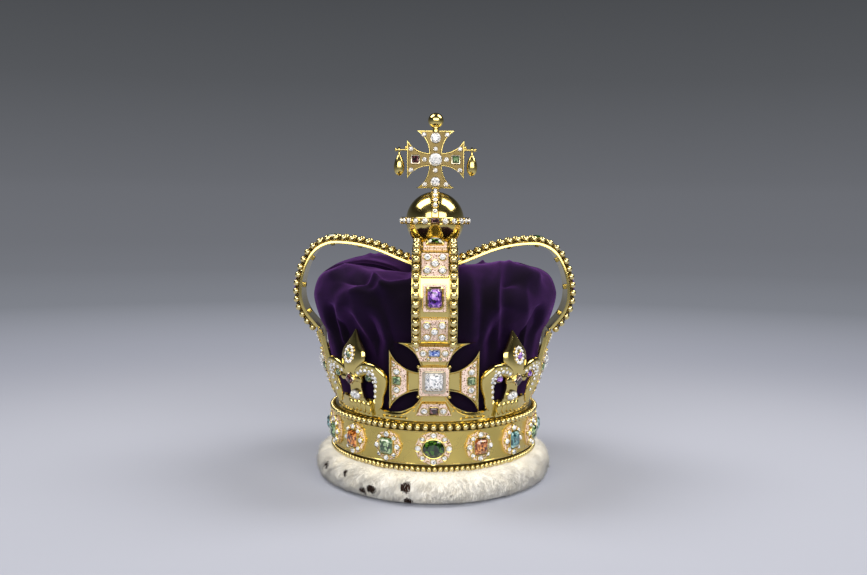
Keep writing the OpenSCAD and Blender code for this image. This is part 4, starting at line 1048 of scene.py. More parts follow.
# Stones of a curled leaf. Columns: share of its length, share across it, size.
curl_stones = [[0.14, 0.0, 2.9], [0.2, 0.05, 3.2], [0.27, 0.12, 3.4], [0.34, 0.2, 3.4], [0.41, 0.28, 3.4], [0.48, 0.36, 3.4],
               [0.55, 0.42, 3.3], [0.62, 0.45, 3.2], [0.69, 0.45, 3.0], [0.76, 0.42, 2.6], [0.24, -0.45, 2.2],
               [0.31, -0.35, 2.2], [0.38, -0.25, 2.2], [0.3, 0.75, 2.2], [0.45, 0.85, 2.2], [0.58, 0.9, 2.1]]
curl_eye_x, curl_eye_y, curl_eye_w = 18.4, 33.9, 5.4
leaf_eye_y = 0.75 * lily_h
leaf_colours = ["green_stone", "green_stone", "green_stone", "purple_stone"]
for i in range(4):
    fit = on_wall(0.125 + 0.25 * i + (lily_shift if i % 2 == 0 else -lily_shift))
    body, mounts, white, colour = Bench(), Bench(), Bench(), Bench()
    body.lay(upright_leaf())
    for side in (-1, 1):
        body.lay(curled_leaf(side))
    foot = np.array([[-14, 1.2], [14, 1.2], [13, 10], [8, 16], [6.6, 24], [8, knot_y], [-8, knot_y], [-6.6, 24], [-8, 16],
                     [-13, 10]])
    body.lay(skin([np.column_stack([foot * [share, 1], np.full(len(foot), z)]) for share, z in
                   ((1, 0), (1, 1.9), (0.93, 2.4))]))
    for k in range(-2, 3):
        lobe = [np.column_stack([loop(5.2 * s + 0.1, 11 * s + 0.1), np.full(24, 1.6 + 2.2 * math.sqrt(1 - s * s))])
                for s in (1, 0.92, 0.75, 0.5, 0.2)]
        body.lay(moved(skin([np.column_stack([loop(5.3, 11.1), np.full(24, 0.1)])] + lobe), 5.5 * k, 8.6 - 0.4 * abs(k)))
    bar = [np.column_stack([np.full(16, x), knot_y + r * np.cos(2 * math.pi * np.arange(16) / 16),
                            3 + r * np.sin(2 * math.pi * np.arange(16) / 16)])
           for x, r in ((-12, 1.6), (-11.4, 2.7), (-10, 3.1), (-8.6, 2.6), (0, 2.7), (8.6, 2.6), (10, 3.1), (11.4, 2.7),
                        (12, 1.6))]
    body.lay(skin(bar))
    body.make("lily_%d_leaves" % (i + 1), fit, [polished_gold], "gold", ["lily_%d" % (i + 1)], sharp=40)
    eye = Bench()
    for side in (-1, 1):
        for share, aside, size in curl_stones:
            x, y, z = on_curl(side, share, aside)
            mounts.lay(moved(collet(size, size, wall=0.3, h=0.9), x, y, z - 0.5))
            white.lay(moved(brilliant(size - 0.1, size - 0.1, 1.1), x, y, z, turn=7 * share))
        mounts.lay(moved(formed(lambda out: loop(curl_eye_w + 2 * out, curl_eye_w + 2 * out),
                                [(0.3, 0.2), (0.6, 3.4), (0.3, 4.0), (-0.3, 3.8)]), side * curl_eye_x, curl_eye_y), 1)
        eye.lay(moved(brilliant(curl_eye_w, curl_eye_w, 1.7), side * curl_eye_x, curl_eye_y, 3.9))
    for k in range(12):
        a = 2 * math.pi * k / 12
        x, y = 4.0 * math.cos(a), leaf_eye_y + 5.6 * math.sin(a)
        mounts.lay(moved(collet(2.6, 2.6, wall=0.3, h=1.1), x, y, leaf_face(x, y) - 0.4))
        white.lay(moved(brilliant(2.6, 2.6, 1.2), x, y, leaf_face(x, y) + 0.3, turn=k))
    eye_z = leaf_face(0, leaf_eye_y)
    mounts.lay(moved(collet(4.4, 6.0, wall=0.4, h=1.6), 0, leaf_eye_y, eye_z - 0.6), 1)
    eye.lay(moved(brilliant(4.4, 6.0, 1.7), 0, leaf_eye_y, eye_z + 0.6))
    mounts.lay(moved(collet(6.4, 6.4, 0.4, wall=0.6, h=1.8), 0, knot_y, 5.0, turn=math.pi / 4))
    colour.lay(moved(step_cut(6.3, 6.3, 2.0, 0.06), 0, knot_y, 6.2, turn=math.pi / 4))
    oval_y, oval_z = 0.265 * lily_h, 2.8
    mounts.lay(moved(formed(lambda out: loop(12 + 2 * out, 8.4 + 2 * out), [(0, -0.6), (0, 0.7), (-0.5, 1.0)]),
                     0, oval_y, oval_z))
    for x, y, w, l in ((-3.4, 0, 3.6, 4.6), (0, 1.4, 3.2, 3.6), (3.4, 0, 3.6, 4.6), (0, -1.8, 3.0, 2.8)):
        white.lay(moved(brilliant(w, l, 1.5), x, oval_y + y, oval_z + 1.1))
    mounts.make("lily_%d_settings" % (i + 1), fit, [silver_gilt, polished_gold], "gold", ["lily_%d" % (i + 1)], sharp=40)
    white.make("lily_%d_whites" % (i + 1), fit, [stone_finishes["white_stone"]], "white_stone", ["lily_stones"], sharp=1)
    colour.make("lily_%d_knot_stone" % (i + 1), fit, [red_stone], "purple_stone", ["lily_stones"], sharp=1)
    eye.make("lily_%d_coloured_stones" % (i + 1), fit, [stone_finishes[leaf_colours[i]]], leaf_colours[i],
             ["lily_stones"], sharp=1)


# Arches
# Four half arches of gold strip with a raised rail along each edge, rising from behind the crosses, bowing out and
# dipping to the crossing. Two rows of beads parted by collars stand on the rails. Plaques are bolted through the
# channel between them, each with a nut on the inner face.
arch_overhang, arch_wide_z, arch_w, arch_dip = 33.7, 152.4, 34.0, 25.0
arch_bead_r, arch_bead_pitch, rail_w = 2.9, 6.8, 6.6
foot_heading, foot_l, low_r, side_r = math.radians(49), 20.0, 40.0, 65.0
side_turn, shoulder_r, dip_slope = math.radians(30), 31.0, math.radians(22.5)
channel_lift, rail_lift, back_lift = -6.0, -5.6, -7.6
arch_foot_z = cross_z + cross_half_h + 0.1
mitre_gap, bead_stop = 0.15, 21.0


def arch_line(i):
    """The arcs of an arch over its bead tops: middle, radius, first angle, turn, run along the bead centres."""
    reach = (band_half_w if i % 2 == 0 else band_half_d) + arch_overhang
    side_mid = np.array([reach - side_r, arch_wide_z])
    shoulder = side_mid + (side_r - shoulder_r) * np.array([math.cos(side_turn), math.sin(side_turn)])
    dip_r = (shoulder[0] * math.tan(dip_slope) - arch_dip) / (1 / math.cos(dip_slope) - 1)
    arcs = [(np.array([reach - low_r, arch_wide_z]), low_r, foot_heading - math.pi / 2, math.pi / 2 - foot_heading),
            (side_mid, side_r, 0.0, side_turn),
            (shoulder, shoulder_r, side_turn, math.pi / 2 - side_turn),
            (shoulder - [0, dip_r - shoulder_r], dip_r, math.pi / 2, dip_slope)]
    return [arc + ((arc[1] - arch_bead_r) * arc[3],) for arc in arcs]


def along_arch(i, run, lift):
    """Distance from the axis and height at runs along an arch."""
    arcs = arch_line(i)
    starts = foot_l + np.concatenate([[0], np.cumsum([arc[4] for arc in arcs])])
    cos, sin = math.cos(foot_heading), math.sin(foot_heading)
    mid, radius, first = arcs[0][:3]
    x = mid[0] + (radius + lift) * math.cos(first) - (foot_l - run) * cos
    z = mid[1] + (radius + lift) * math.sin(first) - (foot_l - run) * sin
    for k, (mid, radius, first, turn, _) in enumerate(arcs):
        a = first + (run - starts[k]) / (radius - arch_bead_r)
        on = (run >= starts[k]) & (run < starts[k + 1])
        x = np.where(on, mid[0] + (radius + lift) * np.cos(a), x)
        z = np.where(on, mid[1] + (radius + lift) * np.sin(a), z)
    mid, radius, first, turn, _ = arcs[3]
    past = run - starts[4]
    on = past >= 0
    x = np.where(on, mid[0] + (radius + lift) * math.cos(first + turn) - past * math.cos(dip_slope), x)
    z = np.where(on, mid[1] + (radius + lift) * math.sin(first + turn) - past * math.sin(dip_slope), z)
    return x, z


def on_arch(i):
    """Bends bench points to an arch: X runs up it from the foot, Y is across it, Z is out of its face."""
    cos, sin = math.cos(side_angles[i]), math.sin(side_angles[i])

    def fit(points):
        out, z = along_arch(i, points[:, 0], points[:, 2])
        return np.stack([out * cos + points[:, 1] * sin, out * sin - points[:, 1] * cos, z], -1)

    return fit


half = arch_w / 2
rail_in = half - rail_w
strip_half = [[half, back_lift], [half, -5.8], [half - 0.3, -5.2], [half - 0.8, -5.2], [half - 1.2, rail_lift],
              [rail_in + 1.0, rail_lift], [rail_in + 0.6, -5.2], [rail_in + 0.1, -5.2], [rail_in - 0.2, -5.7],
              [rail_in - 0.2, channel_lift]]
strip_section = np.array(strip_half + [[-y, z] for y, z in strip_half[::-1]])
strip_steps = 150
# Plaques along an arch. Columns: run, length, width, stones, slot.
plaque_rows = [[26, 19.5, 20, "five", "white_stone"], [52, 20.5, 17, "one", "purple_stone"],
               [78, 20, 20, "five", "white_stone"], [104, 18, 18, "one", "dark_green_stone"], [129, 15, 18, "none", ""]]
plaque_top = channel_lift + 2.6
five_spots = [[0, 0, 6.0], [5.4, 5.6, 5.8], [-5.4, 5.6, 5.8], [5.4, -5.6, 5.8], [-5.4, -5.6, 5.8]]
for i, side in enumerate(side_names):
    strip = Bench()
    guess = np.linspace(0, 300, 3001)
    rows = []
    ends = []
    for y, lift in strip_section:
        out, z = along_arch(i, guess, np.full(len(guess), lift))
        first = guess[np.argmax(z > arch_foot_z)]
        last = guess[len(out) - 1 - np.argmax(out[::-1] > abs(y) + mitre_gap)]
        ends.append((first, last))
    for k in range(strip_steps + 1):
        share = k / strip_steps
        rows.append([[first + (last - first) * share, y, lift] for (first, last), (y, lift) in zip(ends, strip_section)])
    strip.lay(skin(rows))
    beads, between = [], []
    for k in range(40):
        run = 13.2 + k * arch_bead_pitch
        if along_arch(i, np.array([run]), np.array([-arch_bead_r]))[0][0] <= bead_stop:
            break
        for across in (-1, 1):
            beads.append([run, across * (half - rail_w / 2), -arch_bead_r, 1, 0])
            between.append([run + arch_bead_pitch / 2, across * (half - rail_w / 2), -arch_bead_r - 0.5, 1, 0])
    strip.lay(copies(ball(arch_bead_r, 14, 9), beads), 1)
    # The collars between the beads take the gold painted dark as shade
    strip.lay(copies(disc(2.0, 1.0), between[:-2]), 2)
    strip.make("arch_%s_strip" % side, on_arch(i), [polished_gold, highlight_pale_bead_gold, recess_shaded_gold], "gold", ["arch_%s" % side],
               sharp=35)
    mounts, white = Bench(), Bench()
    for run, l, w, kind, slot in plaque_rows:
        mounts.lay(moved(formed(lambda out: loop(l + 2 * out, w + 2 * out, 1.2 + out),
                                [(0, channel_lift - 0.3), (0, plaque_top - 0.5), (-0.4, plaque_top), (-1, plaque_top)]),
                         run, 0))
        mounts.lay(moved(copies(grain, spots_at(strung(loop(l + 0.2, w + 0.2, 1.2), 1.45), plaque_top - 0.5)), run, 0), 1)
        mounts.lay(moved(copies(curl(0.85), spots_at(strung(loop(l - 2.6, w - 2.6, 1.2), 2.0), plaque_top + 0.05)),
                         run, 0))
        mounts.lay(moved(copies(curl(0.55), spots_at(strung(loop(l - 6, w - 6, 1.2), 1.7), plaque_top + 0.05)), run, 0))
        nut = formed(lambda out: loop(4.4 + 2 * out, 4.4 + 2 * out, 0.6), [(0, 0), (0, 1.5), (-0.5, 1.9)])
        mounts.lay((np.asarray(nut[0]) * [1, 1, -1] + [run, 0, back_lift], nut[1]), 2)
        if kind == "five":
            for x, y, size in five_spots:
                stone_in(mounts, white, run + x, y, size - 0.4, size - 0.4, plaque_top, "round", 2.0)
        if kind == "one":
            sl, sw = l - 7, w - 7
            for grow, top in ((1.1, 1.6), (0.3, 2.3)):
                mounts.lay(moved(formed(lambda out: loop(sl + 2 * (grow + out), sw + 2 * (grow + out), 1.2 + grow + out),
                                        [(0.4, plaque_top - 0.2), (0.4, plaque_top + top - 0.3), (0, plaque_top + top),
                                         (-0.4, plaque_top + top - 0.3), (-0.4, plaque_top - 0.2)], wrap=True), run, 0), 1)
            stone = Bench()
            stone.lay(step_cut(sl, sw, 2.6, 0.2))
            which = "low" if slot == "purple_stone" else "high"
            stone.make("arch_%s_%s_stone" % (side, which),
                       lambda points, i=i, run=run: on_arch(i)(points + [run, 0, plaque_top + 1.2]),
                       [stone_finishes[slot]], slot, ["arch_%s_stone_%s" % (which, side)], sharp=1)
    mounts.make("arch_%s_settings" % side, on_arch(i), [enamel, polished_gold, satin_gold], "enamelled_setting",
                ["arch_%s" % side], sharp=50)
    white.make("arch_%s_whites" % side, on_arch(i), [stone_finishes["white_stone"]], "white_stone",
               ["arch_small_stones"], sharp=1)


# Orb
# A hollow ball raised from two bowls, on a turned stem that is bolted through the crossing. Its seam is hidden by a
# jewelled girdle, and a half band with a row of small stones runs over the top from front to back.
orb_r, orb_z = 24.4, 212.0
girdle_r, girdle_h = 26.0, 5.8
half_band_r, half_band_w = 25.7, 6.4
shoulder_top = arch_line(0)[2][0][1] + shoulder_r
crossing_z = shoulder_top - arch_dip
under_z = crossing_z + back_lift / math.cos(dip_slope) - 0.1
channel_z = crossing_z + channel_lift / math.cos(dip_slope)


def lathe(profile, sides=72):
    """A turned form about the Z axis. Profile columns: radius, height."""
    a = 2 * math.pi * np.arange(sides) / sides
    return skin([np.stack([r * np.cos(a), r * np.sin(a), np.full(sides, z)], -1) for r, z in profile])


def upright(points):
    """Pieces that are laid out where they stand."""
    return points


orb = Bench()
orb.lay(lathe([(orb_r * math.sin(a), orb_z - orb_r * math.cos(a)) for a in np.linspace(0.03, math.pi - 0.03, 48)], 96))
orb.lay(lathe([(girdle_r - 2.4, orb_z - girdle_h / 2), (girdle_r - 0.2, orb_z - girdle_h / 2),
               (girdle_r + 0.2, orb_z - girdle_h / 2 + 0.4), (girdle_r + 0.1, orb_z - girdle_h / 2 + 0.9),
               (girdle_r - 0.5, orb_z - girdle_h / 2 + 1.0), (girdle_r - 0.5, orb_z + girdle_h / 2 - 1.0),
               (girdle_r + 0.1, orb_z + girdle_h / 2 - 0.9), (girdle_r + 0.2, orb_z + girdle_h / 2 - 0.4),
               (girdle_r - 0.2, orb_z + girdle_h / 2), (girdle_r - 2.4, orb_z + girdle_h / 2)], 96))
rows = []
for a in np.linspace(0.08, math.pi - 0.08, 60):
    ring = [[-half_band_w / 2, half_band_r - 2.5], [-half_band_w / 2, half_band_r - 0.2],
            [-half_band_w / 2 + 0.4, half_band_r + 0.15], [-half_band_w / 2 + 0.9, half_band_r - 0.5],
            [half_band_w / 2 - 0.9, half_band_r - 0.5], [half_band_w / 2 - 0.4, half_band_r + 0.15],
            [half_band_w / 2, half_band_r - 0.2], [half_band_w / 2, half_band_r - 2.5]]
    rows.append([[x, -r * math.cos(a), orb_z + r * math.sin(a)] for x, r in ring])
orb.lay(skin(rows))
stem = [(4, under_z - 5), (4, channel_z + 2), (10.4, channel_z + 4.4), (10.8, channel_z + 5.2), (10.4, channel_z + 6),
        (7.4, channel_z + 7), (6, channel_z + 9), (6.2, channel_z + 10.5), (8.4, orb_z - 21.2), (9.4, orb_z - 20)]
orb.lay(lathe(stem, 48))
nut = lathe([(7, under_z - 4), (7, under_z - 0.4), (6.6, under_z)], 6)
orb.lay(nut)
orb.lay(lathe([(9, channel_z + 9.6), (13.6, channel_z + 11.6), (16.4, channel_z + 14.4), (16.9, channel_z + 15.4),
               (16.2, channel_z + 15.6), (8, channel_z + 12.6)], 8))
orb.make("orb_ball", upright, [polished_gold], "gold", ["orb"], sharp=35)


def round_ball(points):
    """Bends bench points to the girdle: X is the angle in degrees, Y is height, Z is distance from the axis."""
    a = np.radians(points[:, 0])
    return np.stack([points[:, 2] * np.cos(a), points[:, 2] * np.sin(a), orb_z + points[:, 1]], -1)


def over_ball(points):
    """Bends bench points over the ball: X across, Y the angle from the front in degrees, Z from the middle."""
    a = np.radians(points[:, 1])
    return np.stack([points[:, 0], -points[:, 2] * np.cos(a), orb_z + points[:, 2] * np.sin(a)], -1)


degree = math.radians(1) * girdle_r
mounts, white, red = Bench(), Bench(), Bench()
girdle_stones = 20
for k in range(girdle_stones):
    at = 270 + 360 / girdle_stones * k
    size = 5.2 if k % 5 == 0 else (4.8 if k % 2 else 4.4)
    narrow = [1 / degree, 1, 1]
    if k in (0, 10):
        for shape, bench, finish in ((collet(6.6, 5.4, 0.4, wall=0.5, h=2.2), mounts, 1),
                                     (step_cut(6.6, 5.4, 1.8, 0.1), red, 0)):
            bench.lay((shape[0] * narrow + [at, 0, girdle_r - 0.6 + (1.1 if bench is red else 0)], shape[1]), finish)
        continue
    proud = 1.6 if k % 5 == 0 else 0.0
    shape = collet(size, size, wall=0.4, h=1.8 + proud)
    mounts.lay((shape[0] * narrow + [at, 0, girdle_r - 0.6], shape[1]), 0)
    shape = copies(claw, spots_at(claws(size + 0.2, size + 0.2), 1.8 + proud))
    mounts.lay((shape[0] * narrow + [at, 0, girdle_r - 0.6], shape[1]), 0)
    shape = brilliant(size, size, 1.5)
    white.lay((shape[0] * narrow + [at, 0, girdle_r + 0.7 + proud], shape[1]))
    shape = copies(claw, spots_at([[0, 1.5], [0, -1.5]], 0.3, 1.2))
    mounts.lay((shape[0] * narrow + [at + 180 / girdle_stones, 0, girdle_r - 0.4], shape[1]), 1)
mounts.make("orb_girdle_settings", round_ball, [silver_gilt, polished_gold], "gold", ["orb"], sharp=40)
white.make("orb_girdle_whites", round_ball, [stone_finishes["white_stone"]], "white_stone", ["orb"], sharp=1)
red.make("orb_girdle_reds", round_ball, [red_stone], "purple_stone", ["orb"], sharp=1)
mounts, white = Bench(), Bench()
flat = [1, 1 / (math.radians(1) * half_band_r), 1]
for k in range(13):
    at = 18 + k * 12
    for shape, bench, lift in ((collet(3.6, 3.6, wall=0.35, h=1.2), mounts, -0.6), (brilliant(3.6, 3.6, 1.3), white, 0.2)):
        if k != 6:
            bench.lay((shape[0] * flat + [0, at, half_band_r + lift], shape[1]))
mounts.make("orb_half_band_settings", over_ball, [silver_gilt], "gold", ["orb"], sharp=40)
white.make("orb_half_band_whites", over_ball, [stone_finishes["white_stone"]], "white_stone", ["orb"], sharp=1)


# Top cross
# A small splayed cross of older, duller gold with a thin bright edge and stones on both faces, on a short stem. A
# gold bead stands on it, and a pin at each side carries a drop.
top_z, top_half_w, top_half_h = 263.0, 23.9, 24.0
top_end, top_side, top_neck = 16.3, 16.7, 5.4
top_bead_r, pin_z, pin_r, drop_x = 6.5, 271.0, 0.8, 30.4
antique_gold = gold_finish("antique_gold", "85744a", 0.34, scratch=0.2, mottle=0.45)


def facing(points):
    """Bends bench points to the front of the top cross."""
    return np.stack([points[:, 0], -points[:, 2], top_z + points[:, 1]], -1)


def facing_back(points):
    return np.stack([-points[:, 0], points[:, 2], top_z + points[:, 1]], -1)


def top_edge(inset):
    return cross_outline([top_half_w, top_half_h], [top_end, top_side], [top_neck, top_neck], inset)


plate = Bench()
rows = [(0, -1.2), (0, 1.2), (0.25, 1.9), (0.7, 1.9), (1.15, 1.3)]
outlines = [top_edge(inset) for inset, _ in rows]
edge_count = len(outlines[0])
back = [np.column_stack([line, np.full(edge_count, -z)]) for line, (_, z) in list(zip(outlines, rows))[:1:-1]]
front = [np.column_stack([line, np.full(edge_count, z)]) for line, (_, z) in zip(outlines, rows)]
points, faces = skin(back + front, caps=False)
plate.lay((points, faces))
for sign in (1, -1):
    points, faces = filled(outlines[-1], lambda flat: np.full(len(flat), sign * 1.3), 4.0)
    plate.lay((points, faces if sign > 0 else [face[::-1] for face in faces]), 1)
plate.make("top_cross_plate", facing, [polished_gold, antique_gold], "gold", ["top_cross"], sharp=30)
stem = Bench()
stem.lay(lathe([(2.7, orb_z + half_band_r + 0.1), (4.2, orb_z + half_band_r + 0.3), (4.2, orb_z + half_band_r + 1),
                (2.7, orb_z + half_band_r + 1.6), (2.6, top_z - top_half_h + 0.5)], 32))
bead_z = top_z + top_half_h + 1.8 + top_bead_r
stem.lay(lathe([(3.4, top_z + top_half_h - 1), (3.4, top_z + top_half_h + 0.6), (2.2, top_z + top_half_h + 1.2),
                (2.2, top_z + top_half_h + 1.6), (3.6, top_z + top_half_h + 2), (3.6, top_z + top_half_h + 2.6)], 32))
stem.lay(lathe([(top_bead_r * math.sin(a), bead_z - top_bead_r * math.cos(a))
                for a in np.linspace(0.04, math.pi - 0.04, 32)], 48))
for side in (-1, 1):
    ring = 2 * math.pi * np.arange(16) / 16
    rows = [np.column_stack([np.full(16, side * x), r * np.cos(ring), pin_z + r * np.sin(ring)])
            for x, r in ((top_half_w - 2, 1.2), (top_half_w + 1.2, 1.2), (top_half_w + 1.6, pin_r), (drop_x + 1.6, pin_r),
                         (drop_x + 1.8, 1.3), (drop_x + 2.8, 1.5), (drop_x + 3.6, 1.1), (drop_x + 4.0, 0.4))]
    stem.lay(skin(rows))
    stem.lay(moved(ball(1.3, 12, 8), side * (top_half_w + 0.8), 0, pin_z + 1.8))
stem.make("top_cross_stem", upright, [polished_gold], "gold", ["top_cross"], sharp=35)
# Stones of the top cross. Columns: distance across, height, width, cut, bench.
top_rows = [[0, 0, 10.8, "round", "white"], [0, 18, 8.6, "round", "white"], [-9.6, 20.6, 3.6, "round", "white"],
            [9.6, 20.6, 3.6, "round", "white"], [0, 8.8, 3.6, "round", "white"], [0, -8.9, 3.8, "round", "white"],
            [-9.2, 0, 3.9, "round", "white"], [9.2, 0, 3.9, "round", "white"], [-16.9, 0, 6.2, "step", "red"],
            [16.9, 0, 6.2, "step", "green"], [-20.4, 8.8, 3.8, "round", "white"], [20.4, 8.8, 3.8, "round", "white"],
            [-20.4, -8.8, 3.8, "round", "white"], [20.4, -8.8, 3.8, "round", "white"], [0, -18.4, 7.8, "round", "white"],
            [-9, -20.6, 3.8, "round", "white"], [9, -20.6, 3.8, "round", "white"]]
for name, fit in (("front", facing), ("back", facing_back)):
    mounts, stones = Bench(), {key: Bench() for key in arm_order}
    for x, y, w, cut, key in top_rows:
        if cut == "round":
            mounts.lay(moved(collet(w, w, wall=0.35, h=1.1), x, y, 1.2))
            stones[key].lay(moved(brilliant(w, w, 0.9 + 0.12 * w), x, y, 1.6, turn=0.1 * x))
        else:
            mounts.lay(moved(collet(w, w, 0.8, wall=0.9, h=1.6), x, y, 1.2))
            stones[key].lay(moved(step_cut(w, w, 1.6), x, y, 1.9))
    mounts.make("top_cross_%s_settings" % name, fit, [silver_gilt], "gold", ["top_cross"], sharp=40)
    stones["white"].make("top_cross_%s_whites" % name, fit, [stone_finishes["white_stone"]], "white_stone",
                         ["top_cross"], sharp=1)
    stones["red"].make("top_cross_%s_red" % name, fit, [red_stone], "purple_stone", ["top_cross"], sharp=1)
    stones["green"].make("top_cross_%s_green" % name, fit, [stone_finishes["green_stone"]], "green_stone",
                         ["top_cross"], sharp=1)


# Drops
# Two hollow pear drops of polished gold, each with a small cup and an eye that hangs on a pin of the top cross.
drop_r, drop_l, eye_r = 5.3, 18.4, 2.4
pear = [(drop_r * math.sin(a) * math.cos(a / 2) ** 0.55, -3.3 - drop_l + drop_l * (1 - math.cos(a)) / 2)
        for a in np.linspace(0.06, math.pi - 0.12, 36)]
cup = [(0.6, -7.6), (2.3, -7.4), (2.5, -7.0), (2.1, -6.2), (1.3, -4.6), (1.0, -3.4), (0.9, -2.2)]
for side, name in ((-1, "left"), (1, "right")):
    drop = Bench()
    drop.lay(lathe(pear, 48))
    drop.lay(lathe(cup, 32))
    ring = 2 * math.pi * np.arange(28) / 28
    rows = [np.column_stack([np.full(28, x), r * np.cos(ring), r * np.sin(ring)])
            for x, r in ((-0.9, 1.0), (-0.9, eye_r - 0.4), (-0.5, eye_r), (0.5, eye_r), (0.9, eye_r - 0.4), (0.9, 1.0))]
    drop.lay(skin(rows, wrap=True))
    drop.make("drop_%s_pear" % name, lambda points, side=side: points + [side * drop_x, 0, pin_z], [polished_gold],
              "gold", ["drop_%s" % name], body="drop_%s" % name, sharp=40)


# Velvet cap
# A cap of purple velvet sewn to the band, cut much too large and pushed in under the arches, so that it stands in deep
# soft folds. Its colour holds a painted sheen: dark where one looks straight into the pile and violet where the cloth
# turns away, as along the ridges.
cap_half_w, cap_top_z, cap_t = 101.0, 175.0, 2.0
# Section of the cap. Columns: half width as a share of the fullest, height as a share of the top, how far the velvet
# is pressed in behind the lilies.
cap_rows = [[0.77, 0.171, 0], [0.77, 0.34, 0], [0.8, 0.43, 0], [0.82, 0.48, 1], [0.85, 0.53, 3], [0.89, 0.65, 7.5],
            [0.905, 0.7, 9.5], [0.955, 0.755, 9], [1, 0.85, 0], [0.985, 0.92, 0], [0.93, 0.965, 0], [0.8, 0.99, 0],
            [0.6, 1, 0], [0.4, 0.98, 0], [0.2, 0.93, 0], [0.03, 0.9, 0]]
cap_press_half = math.radians(22)
cap_fold_depth, cap_fold_round = 1.45, 0.5
cap_around = 360
# Ridges and hollows as seen from the front, in the plane of the crown's axis. Columns: height of the fold, half its
# width, then the line it follows as pairs of distance across and height.
cap_folds = [
    [4.0, 4.0, [-97, 149, -92, 161, -80, 168, -75, 170.5, -62, 170, -52, 166, -45, 160, -42, 156]],
    [-5.0, 8.0, [-86, 152, -74, 161, -62, 160, -56, 157]],
    [4.2, 4.5, [-50, 163, -60, 157, -68, 152, -76, 150, -82, 147, -82, 138, -79, 127, -75, 111]],
    [3.2, 5.0, [-68, 151, -55, 152, -42, 156, -30, 160, -18, 163]],
    [3.4, 4.5, [-97, 149, -96, 140, -91, 127, -86, 116, -81, 101]],
    [-4.2, 6.0, [-89, 145, -87, 130, -82, 115, -77, 100]],
    [3.2, 5.0, [-71, 136, -64, 131, -58, 123, -52, 112, -45, 101]],
    [-3.4, 7.0, [-72, 140, -70, 125, -62, 110, -55, 96]],
    [-3.0, 9.0, [-50, 145, -44, 125, -38, 108]],
    [-4.0, 7.0, [-60, 166, -40, 167, -24, 168]],
    [3.4, 5.0, [22, 168, 50, 170.5, 70, 169, 84, 166, 90, 158]],
    [3.6, 4.5, [62, 169, 74, 165, 86, 160, 101, 152, 97, 140, 94, 120]],
    [-4.0, 7.0, [66, 162, 80, 154, 90, 144, 90, 125, 86, 105]],
    [2.6, 3.5, [54, 168, 53, 150, 53, 130, 52, 105]],
    [-2.6, 6.0, [61, 160, 61, 140, 59, 115]],
    [2.6, 4.0, [77, 158, 77, 140, 75, 120, 72, 100]],
    [-2.4, 6.0, [42, 160, 42, 140, 42, 110]],
    [2.0, 6.0, [30, 160, 31, 135, 30, 110]]]


def velvet_finish():
    """Cotton velvet with a painted sheen in its colour: near black where it faces the eye, violet at a slant, with the
    nap brushed this way and that.
    """
    finish, tree, out = new_finish("purple_cotton_velvet_with_painted_sheen")
    place = add(tree, "ShaderNodeTexCoord")
    nap = add(tree, "ShaderNodeTexNoise", {"Vector": place.outputs["Object"], "Scale": 1 / (26 * MM), "Detail": 3.0})
    pile = add(tree, "ShaderNodeTexNoise", {"Vector": place.outputs["Object"], "Scale": 1 / (0.7 * MM)})
    # Painted sheen: the colour follows how far the surface turns from the eye
    painted_sheen_by_slant = add(tree, "ShaderNodeLayerWeight", {"Blend": 0.35})
    lit = add(tree, "ShaderNodeMapRange", {"Value": nap.outputs["Fac"], "From Min": 0.3, "From Max": 0.7, "To Min": 0.7,
                                           "To Max": 1.3})
    edge = add(tree, "ShaderNodeMath", {0: painted_sheen_by_slant.outputs["Facing"], 1: lit.outputs[0]}, operation="MULTIPLY")
    shade = add(tree, "ShaderNodeValToRGB", {"Fac": edge.outputs[0]})
    blend_stops(shade.color_ramp, [(0.0, "0a0410"), (0.35, "190827"), (0.7, "341648"), (1.0, "55306e")])
    bump = add(tree, "ShaderNodeBump", {"Height": pile.outputs["Fac"], "Strength": 0.25, "Distance": 0.3 * MM})
    cloth = add(tree, "ShaderNodeBsdfPrincipled", {
        "Base Color": shade.outputs["Color"], "Roughness": 0.9, "Specular IOR Level": 0.1, "Sheen Weight": 0.2,
        "Sheen Roughness": 0.35, "Sheen Tint": linear("7c4c9c"), "Normal": bump.outputs["Normal"]})
    tree.links.new(cloth.outputs[0], out.inputs[0])
    return finish


def nearest(points, line):
    """Distance from each point to a line of pairs, and the share of the line's length where it is nearest."""
    best = np.full(len(points), 1e9)
    for a, b in zip(line, line[1:]):
        along = b - a
        t = np.clip(((points - a) @ along) / (along @ along), 0, 1)
        best = np.minimum(best, np.linalg.norm(points - a - t[:, None] * along, axis=1))
    return best


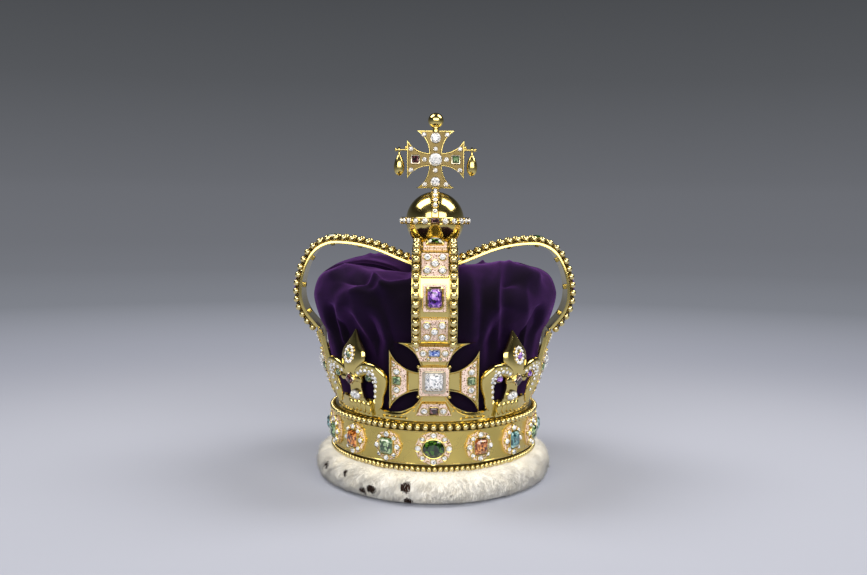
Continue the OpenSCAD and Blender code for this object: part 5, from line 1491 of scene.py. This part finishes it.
velvet = velvet_finish()
shares = np.arange(cap_around) / cap_around
ring_x, ring_y = oval(direction(shares))
outer = smooth_rows(cap_rows, 6)
size = outer[:, 0] * cap_half_w / band_half_w
pressed = np.zeros(cap_around)
for i in range(4):
    behind = direction(0.125 + 0.25 * i + (lily_shift if i % 2 == 0 else -lily_shift))
    turn = np.abs((direction(shares) - behind + math.pi) % (2 * math.pi) - math.pi) / cap_press_half
    pressed = np.maximum(pressed, np.where(turn < 1, np.minimum(1, 1 + np.cos(math.pi * turn)), 0))
size = size[:, None] - np.maximum(outer[:, 2:3], 0) * pressed / band_half_w
cap_points = np.stack([ring_x[None] * size, ring_y[None] * size,
                       np.broadcast_to(outer[:, 1:2] * cap_top_z, (len(outer), cap_around))], -1)
along = np.roll(cap_points, -1, 1) - np.roll(cap_points, 1, 1)
up = np.gradient(cap_points, axis=0)
outward = np.cross(along, up)
outward /= np.maximum(np.linalg.norm(outward, axis=2, keepdims=True), 1e-6)
flat_points = cap_points.reshape(-1, 3)
eye_mm = np.array(camera_place) / MM
behind = flat_points[:, 1] > 0
seen = flat_points.copy()
seen[:, 1] = -np.abs(seen[:, 1])
scale_to = -eye_mm[1] / (seen[:, 1] - eye_mm[1])
view_x = (seen[:, 0] - eye_mm[0]) * scale_to + eye_mm[0]
view_z = (seen[:, 2] - eye_mm[2]) * scale_to + eye_mm[2]
view = np.stack([np.where(behind, -view_x, view_x), view_z], -1)
rise = np.zeros(len(flat_points))
for amount, half_width, line in cap_folds:
    gap = nearest(view, np.array(line, float).reshape(-1, 2)) / half_width
    rise += cap_fold_depth * amount * np.exp(-1.7 * (np.hypot(gap, cap_fold_round) - cap_fold_round))
low_share = np.clip((outer[:, 1] - 0.36) / 0.2, 0, 1)
rim_share = np.clip((outer[:, 0] - 0.25) / 0.4, 0, 1)
fold_share = np.where(np.arange(len(outer)) < len(outer) // 2, low_share, np.minimum(low_share, rim_share))
# The folds flatten out on the flanks, which the front view sees edge on
flank = np.clip((np.abs(outward[..., 0]) - 0.45) / 0.4, 0, 1)
rise = rise.reshape(len(outer), cap_around) * fold_share[:, None] * (1 - 0.85 * flank * flank * (3 - 2 * flank))
ripple = 1.2 * np.sin(14 * math.pi * shares + 1.3)[None] * np.sin(5 * math.pi * shares)[None] * fold_share[:, None]
surface = cap_points + outward * (rise + ripple)[..., None]
lining = cap_points + outward * (rise + ripple - cap_t)[..., None]
cap = Bench()
cap.lay(skin(list(surface) + list(lining[::-1]), wrap=True))
cap_piece = cap.make("velvet_cap_folds", upright, [velvet], "purple_velvet", ["velvet_cap"], sharp=180)


size = {"cad": [[float(v) for v in corner] for corner in cad_box],
        "visual": [[float(v) for v in corner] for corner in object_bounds()]}
